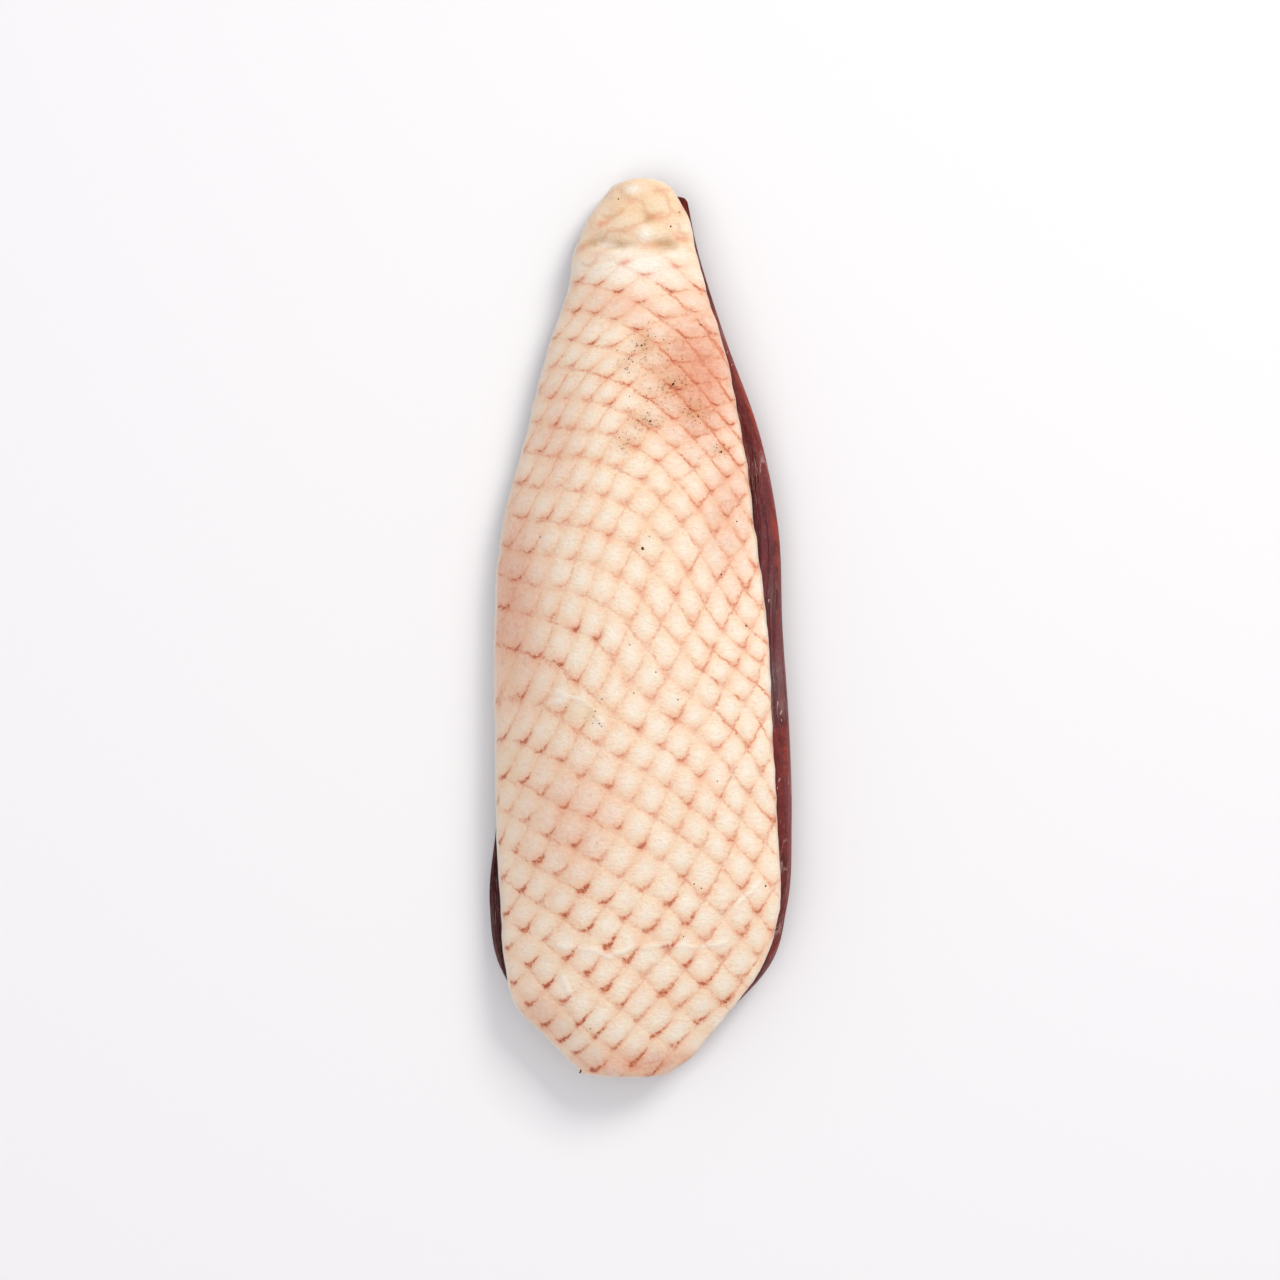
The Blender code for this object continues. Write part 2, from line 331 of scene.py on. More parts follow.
def quilting(x, y, up, over):
    """Height of the cushions over their furrows and pits."""
    up_part = up - np.floor(up)
    over_part = over - np.floor(over)
    to_up = np.minimum(up_part, 1 - up_part)
    to_over = np.minimum(over_part, 1 - over_part)
    up_arm = np.maximum(hump(over_part, ARM_LENGTH), hump(1 - over_part, ARM_BACK))
    up_arm = ARM_REST + (1 - ARM_REST) * up_arm
    over_arm = np.maximum(hump(1 - up_part, ARM_LENGTH), hump(up_part, ARM_BACK))
    over_arm = ARM_REST + (1 - ARM_REST) * over_arm
    furrow = np.maximum(up_arm * hump(to_up, FURROW_WIDTH), over_arm * hump(to_over, FURROW_WIDTH))
    cushion = np.sin(np.pi * up_part) * np.sin(np.pi * over_part)
    pit = hump(np.hypot(to_up, to_over), PIT_WIDTH)
    uneven = 1 + UNEVENNESS * lumps(x, y, UNEVEN_GRAIN, 3.3)
    relief = CUSHION_RISE * cushion ** DOME_POWER - FURROW_DEPTH * furrow - PIT_DEPTH * pit
    towards_tip = 1 - (1 - TIP_SHARE) * ease(y, BARE_TIP_Y - 8, BARE_TIP_Y + 4)
    return (relief - CUSHION_RISE / 2) * uneven * towards_tip


print("furrows", FURROW_DEPTH, "mm deep between cushions", CUSHION_RISE, "mm high")

# %% [markdown]
# The skin is domed. It falls away fast on the left, where it rolls towards the
# table, and stays almost level up to the trimmed edge on the right. A fold
# crosses it under the tip. The skin sinks slowly into it from above and climbs
# a sharp lip below. Thin creases stand up above the tail, and the whole
# surface swells and sinks a little, as a hung piece does.

# %% Heights of the skin
LEFT_FALL = 2.4
RIGHT_FALL = 2.2
FAT_AT_CREST = 6.8
FAT_AT_EDGE = 4.8
SWELL = 0.45
SWELL_GRAIN = 24.0
FOLD_PATH = (
    (-20.0, -13.9, -9.0, -2.8, 3.1, 8.0, 14.0),
    (101.4, 99.4, 97.6, 97.1, 96.6, 97.2, 98.8),
)
FOLD_HOLLOWS = ((-8.5, 5.6, 2.3), (5.8, 3.4, 1.8), (0.0, 30.0, 0.3))
LIP_WIDTH = 0.75
HOLLOW_WIDTH = 3.0
TIP_DENTS = (
    (1.8, 104.6, 1.6, 0.55),
    (-8.6, 105.6, 2.0, 0.35),
    (1.0, 100.8, 2.4, -0.6),
    (-2.2, 112.3, 2.0, -0.3),
)
CREASES = (
    ((-21.0, -81.0), (-8.0, -82.6), (4.0, -80.6), (14.0, -81.4), (21.0, -79.8)),
    ((20.0, -72.4), (26.0, -68.6), (31.0, -64.6)),
    ((-22.0, -16.5), (-15.0, -18.5), (-12.0, -21.5), (-9.5, -24.0)),
    ((-24.0, -19.0), (-19.0, -18.2)),
    ((-20.0, -88.8), (-18.6, -91.0), (-17.4, -94.0)),
)
CREASE_HEIGHT = 0.3
CREASE_WIDTH = 0.55


def across_skin(x, y):
    """Place across the skin, from -1 at its left edge to 1 at its right."""
    left = outline("skin left", y)
    right = outline("skin right", y)
    return (2 * x - left - right) / (right - left)


def arch(x, y):
    """Height of the smooth upper side of the skin, without its relief."""
    place = across_skin(x, y)
    crest = level("crest", y)
    left_fall = (crest - level("left edge", y)) * np.clip(-place, 0, 1.3) ** LEFT_FALL
    right_fall = (crest - level("right edge", y)) * np.clip(place, 0, 1.3) ** RIGHT_FALL
    return crest - left_fall - right_fall


def fat_underside(x, y):
    """Height of the inner side of the fat, thickest along the middle."""
    place = np.clip(across_skin(x, y), -1, 1)
    return arch(x, y) - FAT_AT_EDGE - (FAT_AT_CREST - FAT_AT_EDGE) * (1 - place ** 2)


def along_lines(x, y, lines, width):
    """A soft ridge, 0 to 1, that follows each line through its points."""
    ridge = np.zeros(np.shape(x))
    for line in lines:
        for (x0, y0), (x1, y1) in zip(line, line[1:]):
            run_x = x1 - x0
            run_y = y1 - y0
            part = np.clip(((x - x0) * run_x + (y - y0) * run_y) / (run_x ** 2 + run_y ** 2), 0, 1)
            ridge = np.maximum(ridge, hump(np.hypot(x - x0 - part * run_x, y - y0 - part * run_y), width))
    return ridge


def crease(x, y):
    """The raised creases, 0 to 1, which wander a little off their lines."""
    astray_x = x + 0.7 * lumps(x, y, 4.0, 9.2)
    astray_y = y + 0.9 * lumps(x, y, 5.0, 4.4)
    return along_lines(astray_x, astray_y, CREASES, CREASE_WIDTH)


def fold(x, y):
    """Depth of the fold under the tip, with the dents above it."""
    path = np.interp(x, *FOLD_PATH) + 0.5 * lumps(x, 0 * x, 3.0, 2.6)
    profile = hump(y - path, np.where(y > path, HOLLOW_WIDTH, LIP_WIDTH))
    depth = sum(deep * hump(x - middle, wide) for middle, wide, deep in FOLD_HOLLOWS) * profile
    for dent_x, dent_y, size, dent in TIP_DENTS:
        depth = depth + dent * hump(np.hypot(x - dent_x, y - dent_y), size)
    return depth


def skin_height(x, y):
    """Height of the skin with all its relief, away from its rounded edge."""
    up = rows(ROWS_UP, x, y)
    over = rows(ROWS_OVER, x, y)
    swell = SWELL * lumps(x, y, SWELL_GRAIN, 8.1)
    return arch(x, y) + swell + quilting(x, y, up, over) + CREASE_HEIGHT * crease(x, y) - fold(x, y)


print("skin at the middle:", round(float(skin_height(np.array([0.0]), np.array([0.0]))[0]), 2), "mm up")

# %% [markdown]
# The skin starts as a grid primitive, fine enough for a furrow, and a function
# lays each of its points in place. Its outer rings become the cut edge: they
# fold down over a small round and make the creamy wall of fat. A plainer grid
# closes it underneath, and a bridge joins the two open loops. The points are
# crowded towards the edges, where the surface bends most.

# %% Lay out the skin
SKIN_FACES = (200, 400)
UNDER_FACES = (50, 100)
WALL_SHARE = 0.06
LEFT_ROUND = 2.2
RIGHT_ROUND = 0.6
ROUND_CHANGE = 8.0
CUT_SLOPE = 0.5
CUT_BULGE = 0.25
TIP_BOW = 1.9
TAIL_BOW = 0.6
BOW_POWER = 10
SCALLOP = 0.28
ALONG_CROWDING = 0.15
SKIN_CROWDING = 0.3


def crowd(place, crowding):
    """Move a place from -1 to 1 towards the nearer end."""
    return (1 - crowding) * place + crowding * np.sin(np.pi / 2 * place)


def skin_plan(side, run):
    """Plan position of points of the skin, and their distance in from its edge."""
    y = TAIL_Y + (TIP_Y - TAIL_Y) * (crowd(run, ALONG_CROWDING) + 1) / 2
    left = outline("skin left", y) + SCALLOP * lumps(y, 0 * y, 6.0, 1.7)
    right = outline("skin right", y) + SCALLOP * lumps(y, 0 * y, 5.0, 5.7)
    x = left + (right - left) * (crowd(side, SKIN_CROWDING) + 1) / 2
    inward = np.minimum(np.minimum(x - left, right - x), np.minimum(y - TAIL_Y, TIP_Y - y))
    bow = TIP_BOW * np.clip(run, 0, 1) ** BOW_POWER - TAIL_BOW * np.clip(-run, 0, 1) ** BOW_POWER
    return x, y + (1 - side ** 2) * bow, inward


def skin_points(side, run):
    """Points of the upper side, whose outer rings fold down as the cut edge."""
    reach = np.maximum(np.abs(side), np.abs(run))
    inner = 1 - WALL_SHARE
    shrink = 1 / np.maximum(reach, inner)
    down = np.clip((reach - inner) / WALL_SHARE, 0, 1)
    x, y, inward = skin_plan(side * shrink, run * shrink)
    radius = LEFT_ROUND + (RIGHT_ROUND - LEFT_ROUND) * ease(x, -ROUND_CHANGE, ROUND_CHANGE)
    lost = np.clip(1 - inward / radius, 0, 1)
    height = skin_height(x, y) - radius * (1 - np.sqrt(1 - lost ** 2))
    wall_foot = fat_underside(x, y)
    height = height + (wall_foot - height) * down
    lean_out = CUT_SLOPE * down + CUT_BULGE * np.sin(np.pi * down)
    return x + lean_out * (side * shrink) ** 3, y + lean_out * (run * shrink) ** 9, height


def under_points(side, run):
    """Points of the inner side of the fat, edge to edge with the cut."""
    x, y, _ = skin_plan(side, run)
    return x + CUT_SLOPE * side ** 3, y + CUT_SLOPE * run ** 9, fat_underside(x, y)


def lay_grid(name, faces, points):
    """Add a grid primitive and lay its points in place with a function."""
    let_go()
    bpy.ops.mesh.primitive_grid_add(x_subdivisions=faces[0], y_subdivisions=faces[1], size=2)
    grid = bpy.context.object
    grid.name = name
    flat = np.empty(len(grid.data.vertices) * 3)
    grid.data.vertices.foreach_get("co", flat)
    flat = flat.reshape(-1, 3)
    placed = np.stack(points(flat[:, 0], flat[:, 1]), axis=1) * MM
    grid.data.vertices.foreach_set("co", placed.ravel())
    grid.data.update()
    return grid


def close_layer(name, upper, lower):
    """Join an upper and a lower grid, bridge their open loops and face them out."""
    let_go()
    upper.select_set(True)
    lower.select_set(True)
    bpy.context.view_layer.objects.active = upper
    bpy.ops.object.join()
    layer = bpy.context.object
    layer.name = name
    bpy.ops.object.mode_set(mode="EDIT")
    bpy.ops.mesh.select_mode(type="EDGE")
    bpy.ops.mesh.select_all(action="DESELECT")
    bpy.ops.mesh.select_non_manifold(extend=False, use_boundary=True, use_wire=False,
                                     use_multi_face=False, use_non_contiguous=False, use_verts=False)
    bpy.ops.mesh.bridge_edge_loops()
    bpy.ops.mesh.select_all(action="SELECT")
    bpy.ops.mesh.normals_make_consistent(inside=False)
    bpy.ops.object.mode_set(mode="OBJECT")
    bpy.ops.object.shade_smooth_by_angle(angle=math.radians(60))
    return layer


skin_upper = lay_grid("skin_upper", SKIN_FACES, skin_points)
skin_lower = lay_grid("skin_lower", UNDER_FACES, under_points)
skin = close_layer("quilted_skin", skin_upper, skin_lower)
print(skin.name, "has", len(skin.data.polygons), "faces")

# %% [markdown]
# The shader has to draw its red furrows exactly where the shape has them. So
# each point's two row numbers go into a UV map.
# Patches of blush, yellow fat, brown tint and whitish skin with painted
# highlights by the tip go into one colour attribute, and ochre lines, olive
# stains with painted shade in the fold's hollow, and whitish creases into another.
# In the flushed zone by the tip the furrows are darker as well.

# %% Row numbers, patches and stains on the skin
BLUSH = (
    (15.0, 64.0, 10.0, 17.0, 1.0),
    (-34.0, 8.0, 7.5, 26.0, 0.75),
    (-22.0, 47.0, 6.0, 16.0, 0.3),
    (-18.0, -48.0, 12.0, 16.0, 0.35),
    (2.0, -112.0, 22.0, 4.0, 0.6),
    (-27.0, -100.0, 7.0, 8.0, 0.45),
    (22.0, 32.0, 7.0, 20.0, 0.4),
    (-4.0, 82.0, 12.0, 5.0, 0.35),
)
YELLOW = (
    (0.0, 108.0, 17.0, 9.5, 1.0),
    (-15.0, -22.0, 6.0, 3.4, 0.6),
    (-34.0, -36.0, 4.0, 7.0, 0.5),
    (-33.0, -12.0, 2.5, 5.0, 0.5),
    (0.0, 34.0, 9.0, 26.0, 0.2),
    (10.0, -46.0, 5.0, 4.0, 0.3),
)
BROWN = (
    (0.8, 72.0, 3.5, 4.5, 0.9),
    (-3.5, 67.0, 3.0, 3.0, 0.55),
    (8.2, 61.9, 4.5, 3.2, 0.9),
    (13.5, 54.8, 3.2, 3.0, 0.9),
    (0.5, 52.0, 4.5, 2.6, 0.8),
    (-3.6, 47.0, 3.6, 3.0, 0.6),
    (20.0, 45.5, 2.4, 1.6, 0.6),
    (5.0, 66.0, 8.0, 10.0, 0.4),
)
# Whitish skin by the tip with painted highlights: the bright band below the fold, its lip and a glint on the
# tip.
WHITE_AND_HIGHLIGHTS = (
    (-2.0, 92.4, 11.0, 4.0, 1.0),
    (1.0, 100.6, 1.9, 2.6, 0.9),
    (-2.1, 112.3, 1.9, 1.0, 1.0),
    (-0.5, 95.4, 5.0, 1.6, 0.7),
)
OCHRE_LINES = (
    ((-9.8, 105.9), (-7.6, 105.2), (-6.0, 105.7), (-4.3, 107.2)),
    ((0.6, 107.0), (1.8, 104.6), (5.2, 106.4), (7.4, 106.0)),
    ((1.8, 104.6), (-2.8, 102.4), (-8.7, 101.4), (-9.6, 99.9)),
    ((7.1, 108.6), (8.4, 106.2), (10.4, 106.6)),
    ((9.2, 103.4), (10.2, 101.7), (11.8, 100.9)),
    ((-5.4, 113.0), (-4.6, 111.4), (-2.4, 110.0), (0.1, 108.8), (1.0, 106.9)),
    ((4.1, 112.1), (6.4, 111.0), (7.2, 108.6)),
    ((-14.8, 93.4), (-13.4, 92.8), (-11.6, 94.0)),
)
# Olive stains in the fold's hollow and in a dent by the tip, painted darker where the hollow turns from the
# light: stain and painted shade.
OLIVE_AND_SHADE = (
    (-11.8, 98.8, 3.4, 1.3, 1.0),
    (-6.4, 98.2, 4.2, 1.0, 0.9),
    (6.0, 98.2, 3.4, 1.4, 0.9),
    (1.9, 104.6, 1.6, 1.3, 0.8),
)
OCHRE_WIDTH = 0.6


def patches(x, y, spots):
    """Soft patches, each with its place, its two half widths and its strength."""
    total = np.zeros(np.shape(x))
    for spot_x, spot_y, wide, long, strength in spots:
        spot = hump(x - spot_x, wide) * hump(y - spot_y, long)
        total = np.maximum(total, strength * spot)
    return np.clip(total, 0, 1)


def points_of(piece):
    """The points of a mesh in millimetres, as columns."""
    flat = np.empty(len(piece.data.vertices) * 3)
    piece.data.vertices.foreach_get("co", flat)
    return flat.reshape(-1, 3).T / MM


def store_colour(piece, name, *patterns):
    """Keep up to four patterns of a mesh in one colour attribute."""
    full = list(patterns) + [np.ones(len(patterns[0]))] * (4 - len(patterns))
    layer = piece.data.attributes.new(name, "FLOAT_COLOR", "POINT")
    layer.data.foreach_set("color", np.stack(full, axis=1).ravel())


def store_rows(piece, name, first, second):
    """Keep two patterns of a mesh in a UV map of its own."""
    while piece.data.uv_layers:
        piece.data.uv_layers.remove(piece.data.uv_layers[0])
    layer = piece.data.uv_layers.new(name=name)
    corner = np.empty(len(piece.data.loops), int)
    piece.data.loops.foreach_get("vertex_index", corner)
    layer.data.foreach_set("uv", np.stack([first[corner], second[corner]], axis=1).ravel())


x, y, z = points_of(skin)
store_rows(skin, "follicle_rows", rows(ROWS_UP, x, y), rows(ROWS_OVER, x, y))
store_colour(skin, "patches", patches(x, y, BLUSH), patches(x, y, YELLOW), patches(x, y, BROWN),
             patches(x, y, WHITE_AND_HIGHLIGHTS))
astray = 0.5 * lumps(x, y, 2.0, 6.6)
ochre = along_lines(x + astray, y + astray, OCHRE_LINES, OCHRE_WIDTH)
whitened = crease(x, y) * ease(lumps(x, y, 5.0, 1.1), -0.5, 0.3)
store_colour(skin, "stains", ochre, patches(x, y, OLIVE_AND_SHADE), whitened)
cut = ease(arch(x, y) - z, 1.6, 2.8)
# The second channel paints the left slope paler, against the shade it gets from the lights: painted light.
store_colour(skin, "edges", cut, ease(-across_skin(x, y), 0.2, 1.0))
print("rows run from", round(rows(ROWS_UP, x, y).min(), 1), "to", round(rows(ROWS_UP, x, y).max(), 1))

# %% [markdown]
# The follicle marks aren't the same all over. On the left they are long bars,
# by the tail they are bold swooshes, on the right only a fine net shows, and
# by the tip the rows one way join to long red lines. A few places on the skin
# hold the style that was seen there, and all points between take a mixture.
# Marks and lines stop short of the bare tip.

# %% Styles of the follicle marks
STYLE_REACH = 17.0
STYLE_COLUMNS = ("x", "y", "left arm", "right arm", "thickness", "darkness", "lines up", "lines over")
MARK_STYLES = (
    (-32.0, 28.0, 0.60, 0.34, 0.85, 0.62, 0.22, 0.45),
    (-32.0, -4.0, 0.62, 0.34, 0.95, 0.80, 0.25, 0.50),
    (-20.0, 64.0, 0.42, 0.36, 0.75, 0.36, 0.28, 0.26),
    (-12.0, 20.0, 0.30, 0.30, 0.65, 0.24, 0.16, 0.12),
    (2.0, 40.0, 0.36, 0.32, 0.60, 0.20, 0.12, 0.22),
    (15.0, 64.0, 0.70, 0.40, 0.95, 1.00, 0.35, 1.30),
    (8.0, 82.0, 0.30, 0.30, 1.00, 0.70, 0.20, 0.35),
    (-8.0, 84.0, 0.30, 0.30, 1.00, 0.50, 0.15, 0.20),
    (24.0, 26.0, 0.58, 0.55, 0.65, 0.50, 0.60, 0.62),
    (6.0, 0.0, 0.42, 0.42, 0.55, 0.24, 0.22, 0.24),
    (25.0, -12.0, 0.55, 0.55, 0.70, 0.36, 0.50, 0.50),
    (26.0, -50.0, 0.45, 0.46, 0.80, 0.36, 0.34, 0.34),
    (2.0, -42.0, 0.32, 0.42, 1.00, 0.32, 0.14, 0.18),
    (-12.0, -26.0, 0.40, 0.34, 0.80, 0.38, 0.15, 0.20),
    (-30.0, -46.0, 0.32, 0.40, 1.35, 0.82, 0.22, 0.30),
    (-18.0, -62.0, 0.30, 0.46, 1.45, 0.70, 0.20, 0.28),
    (4.0, -74.0, 0.34, 0.56, 1.50, 0.46, 0.18, 0.18),
    (24.0, -78.0, 0.36, 0.60, 1.05, 0.50, 0.40, 0.26),
    (-22.0, -88.0, 0.28, 0.56, 1.50, 0.78, 0.12, 0.20),
    (-2.0, -104.0, 0.28, 0.66, 1.65, 0.78, 0.14, 0.14),
)


def style(x, y, name):
    """Mix one column of the mark styles by nearness to the places that hold it."""
    total = np.full(np.shape(x), 1e-9)
    mixed = np.zeros(np.shape(x))
    for row in MARK_STYLES:
        nearness = hump(np.hypot(x - row[0], y - row[1]), STYLE_REACH)
        total = total + nearness
        mixed = mixed + nearness * row[STYLE_COLUMNS.index(name)]
    return mixed / total


off_tip = 1 - 0.85 * ease(y, 86.0, 95.0)
store_colour(skin, "mark_arms", style(x, y, "left arm"), style(x, y, "right arm"), style(x, y, "thickness"),
             style(x, y, "darkness") * off_tip)
flushed = patches(x, y, BLUSH[:1])
store_colour(skin, "mark_lines", (style(x, y, "lines up") + 0.3 * flushed) * off_tip,
             (style(x, y, "lines over") + 1.1 * flushed) * off_tip)
print(len(MARK_STYLES), "places hold a style of mark")

# %% [markdown]
# The lean bulges out past the fat as a dark shelf on the right and as a
# sliver on the left. It is muscle, so fine ridges run along it, and drying
# has wrinkled them. Two grids make it, an upper one that follows the fat and
# then rolls down to the rim, and a lower one that is flat on the ground.

# %% Lay out the lean
MEAT_TAIL_Y = -112.0
MEAT_TIP_Y = 111.6
MEAT_FACES = (120, 320)
GAP = 0.1
TUCK = 0.5
BELLY_ROUND = 9.0
END_LIFT = 3.5
CORNER_DROP = 1.4
LEAN_CROWDING = 0.75
GRAIN = ((0.9, 26.0, 0.30), (2.3, 40.0, 0.55), (0.45, 9.0, 0.12))


def quarter_round(part):
    """Rise of a quarter circle, from 0 at its flat start to 1 at its steep end."""
    return 1 - np.sqrt(1 - np.clip(part, 0, 1) ** 2)


def grain(x, y, z):
    """Height of the muscle's ridges: narrow across it and long along it."""
    ridges = np.zeros(len(x))
    for across, along, depth in GRAIN:
        ridges = ridges + depth * lumps((x + 1.3 * z) / across, y / along, 1.0, across)
    return ridges


def meat_plan(side, run):
    """Plan position of points of the lean, and their distance in from each side."""
    y = MEAT_TAIL_Y + (MEAT_TIP_Y - MEAT_TAIL_Y) * (crowd(run, ALONG_CROWDING) + 1) / 2
    left = outline("lean left", y)
    right = outline("lean right", y)
    x = left + (right - left) * (crowd(side, LEAN_CROWDING) + 1) / 2
    y = y - CORNER_DROP * side ** 4 * np.clip(run, 0, 1) ** 60
    return x, y, x - left, right - x


def shoulder(past_skin, from_rim, top, rim):
    """Height of the lean where it bulges out past the skin, down to its rim."""
    part = past_skin / np.maximum(past_skin + from_rim, 0.5)
    return np.where(past_skin > 0, top - np.maximum(top - rim, 0) * quarter_round(part), top)


def lean_top(side, run):
    """Points of the upper side of the lean."""
    x, y, from_left, from_right = meat_plan(side, run)
    skin_left = outline("skin left", y)
    skin_right = outline("skin right", y)
    height = fat_underside(np.clip(x, skin_left, skin_right), y) - GAP
    height = shoulder(x - skin_right + TUCK, from_right, height, level("right rim", y))
    height = shoulder(skin_left + TUCK - x, from_left, height, level("left rim", y))
    shown = ease(np.maximum(x - skin_right, skin_left - x), 0, 1.2)
    return x, y, height + shown * (grain(x, y, height) - 0.2)


def lean_under(side, run):
    """Points of the underside, flat on the ground and round at its rim."""
    x, y, from_left, from_right = meat_plan(side, run)
    from_end = np.minimum(y - MEAT_TAIL_Y, MEAT_TIP_Y - y)
    lift = level("left rim", y) * quarter_round(1 - from_left / BELLY_ROUND)
    lift = lift + level("right rim", y) * quarter_round(1 - from_right / BELLY_ROUND)
    lift = np.maximum(lift, END_LIFT * quarter_round(1 - from_end / BELLY_ROUND))
    wrinkle = ease(lift, 0.2, 2.0) * grain(x, y, lift)
    return x, y, np.maximum(lift + wrinkle, 0)


lean = close_layer("dried_lean", lay_grid("lean_upper", MEAT_FACES, lean_top),
                   lay_grid("lean_lower", MEAT_FACES, lean_under))
print(lean.name, "has", len(lean.data.polygons), "faces")

# %% [markdown]
# The floor stands for a sheet of white paper. Paper is matt: it scatters light
# every way and mirrors nothing, so a near-white and a high roughness are all
# it needs. Two helpers serve the other plain materials too.

# %% The floor's paint
def new_material(name, colour, finish):
    """Make a material of one colour and finish, and return it with its shader."""
    material = bpy.data.materials.new(name)
    material.use_nodes = True
    shader = material.node_tree.nodes["Principled BSDF"]
    shader.inputs["Base Color"].default_value = linear(colour)
    for setting, value in finish.items():
        shader.inputs[setting].default_value = value
    return material, shader


def cover(piece, material):
    """Give a piece one material all over."""
    piece.data.materials.clear()
    piece.data.materials.append(material)


# White paper: it gives the eye an even, glare-free ground that shows the shadows.
paper, _ = new_material("matt_white_paper", "#F4F4F5", {"Roughness": 0.9})
cover(floor, paper)
print("floor painted", paper.name)

# %% [markdown]
# Cured duck skin is a waxy hide over soft fat. Light goes a little way into
# it and comes back warm, which subsurface scattering gives, and it has a low
# oily sheen. The material reads the two row numbers for its furrows, after
# two noises have frayed them, as real furrows are. The distance to the
# nearest whole number is a triangle wave, the pingpong of a Math node.

# %% Skin: distance to the rows
FRAY = 0.28
GRIT = 0.13

# Duck hide: it gives the eye soft warm depth, salmon furrows and a faint oily gleam.
hide, hide_shader = new_material("cured_duck_skin", "#FDD6B4", {
    "IOR": 1.45,
    "Subsurface Weight": 0.25,
    "Subsurface Radius": (1.0, 0.45, 0.25),
    "Subsurface Scale": 1.6 * MM,
})
tree = hide.node_tree
place = add(tree, "ShaderNodeTexCoord").outputs["Object"]
numbers = add(tree, "ShaderNodeUVMap", uv_map="follicle_rows")
fray = add(tree, "ShaderNodeTexNoise", {
    "Vector": place, "Scale": 1 / (2.4 * MM), "Detail": 5.0, "Roughness": 0.62})
grit = add(tree, "ShaderNodeTexNoise", {"Vector": place, "Scale": 1 / (0.75 * MM), "Detail": 3.0})
for strays, size in ((fray, FRAY), (grit, GRIT)):
    most = (size, size, 0)
    back = (-size / 2, -size / 2, 0)
    moved = add(tree, "ShaderNodeVectorMath", {0: strays.outputs["Color"], 1: most, 2: back},
                operation="MULTIPLY_ADD")
    numbers = add(tree, "ShaderNodeVectorMath", {0: numbers, 1: moved}, operation="ADD")
up_count, over_count, _ = add(tree, "ShaderNodeSeparateXYZ", {0: numbers}).outputs
to_up = add(tree, "ShaderNodeMath", {0: up_count, 1: 0.5}, operation="PINGPONG")
to_over = add(tree, "ShaderNodeMath", {0: over_count, 1: 0.5}, operation="PINGPONG")
print("skin nodes so far:", len(tree.nodes))

# %% [markdown]
# A mark is a rounded V round the lower corner of its cell. The two row numbers
# are turned so that the corner is at 0 and each arm runs to the next whole
# number. The smooth minimum of both is 0 along such a rounded V. Every cell
# draws a number by chance, which shifts its mark and makes it weak or strong.

# %% Skin: the follicle marks
CORNER = 0.32
corners = (CORNER, CORNER, 0)
arms = add(tree, "ShaderNodeAttribute", attribute_name="mark_arms")
left_arm, right_arm, thickness = add(tree, "ShaderNodeSeparateColor", {0: arms.outputs["Color"]}).outputs
turned = add(tree, "ShaderNodeVectorMath", {0: numbers, 1: (-1, 1, 0), 2: corners}, operation="MULTIPLY_ADD")
cell = add(tree, "ShaderNodeVectorMath", {0: turned}, operation="FLOOR")
chance = add(tree, "ShaderNodeTexWhiteNoise", {"Vector": cell}, noise_dimensions="3D")
local = add(tree, "ShaderNodeVectorMath", {0: turned}, operation="FRACTION")
local = add(tree, "ShaderNodeVectorMath", {0: local, 1: corners}, operation="SUBTRACT")
shift = add(tree, "ShaderNodeVectorMath", {
    0: chance.outputs["Color"], 1: (0.16, 0.16, 0), 2: (-0.10, -0.10, 0)}, operation="MULTIPLY_ADD")
local = add(tree, "ShaderNodeVectorMath", {0: local, 1: shift}, operation="ADD")
left_run, right_run, _ = add(tree, "ShaderNodeSeparateXYZ", {0: local}).outputs

fades = []
for run, arm in ((left_run, left_arm), (right_run, right_arm)):
    part = add(tree, "ShaderNodeMath", {0: run, 1: arm}, operation="DIVIDE")
    fades.append(add(tree, "ShaderNodeMapRange", {0: part, 1: 0.05, 2: 1.5, 3: 1.0, 4: 0.0},
                     interpolation_type="SMOOTHERSTEP"))
fade = add(tree, "ShaderNodeMath", {0: fades[0], 1: fades[1]}, operation="MULTIPLY")
rounded = add(tree, "ShaderNodeMath", {0: left_run, 1: right_run, 2: 0.34}, operation="SMOOTH_MIN")
off_mark = add(tree, "ShaderNodeMath", {0: rounded}, operation="ABSOLUTE")
taper = add(tree, "ShaderNodeMapRange", {0: fade, 1: 0.0, 2: 1.0, 3: 0.022, 4: 0.068})
width = add(tree, "ShaderNodeMath", {0: taper, 1: thickness}, operation="MULTIPLY")
in_widths = add(tree, "ShaderNodeMath", {0: off_mark, 1: width}, operation="DIVIDE")
heart = add(tree, "ShaderNodeMapRange", {0: in_widths, 1: 0.1, 2: 1.1, 3: 1.0, 4: 0.0},
            interpolation_type="SMOOTHSTEP")
halo = add(tree, "ShaderNodeMapRange", {0: off_mark, 1: 0.0, 2: 0.24, 3: 1.0, 4: 0.0},
           interpolation_type="SMOOTHSTEP")
luck = add(tree, "ShaderNodeMapRange", {0: chance.outputs["Value"], 1: 0.0, 2: 1.0, 3: 0.35, 4: 1.15})
strength = add(tree, "ShaderNodeMath", {0: luck, 1: fade}, operation="MULTIPLY")
torn = add(tree, "ShaderNodeTexNoise", {
    "Vector": place, "Scale": 1 / (1.0 * MM), "Detail": 4.0, "Roughness": 0.65})
torn = add(tree, "ShaderNodeMapRange", {0: torn, 1: 0.38, 2: 0.6, 3: 0.2, 4: 1.25})
for share in (strength, torn, arms.outputs["Alpha"]):
    heart = add(tree, "ShaderNodeMath", {0: heart, 1: share}, operation="MULTIPLY")
halo = add(tree, "ShaderNodeMath", {0: halo, 1: strength}, operation="MULTIPLY")
print("skin nodes so far:", len(tree.nodes))

# %% [markdown]
# Between the marks a faint net of salmon lines goes on along both rows. Slow
# noise thins it out here and there, because real lines break off.

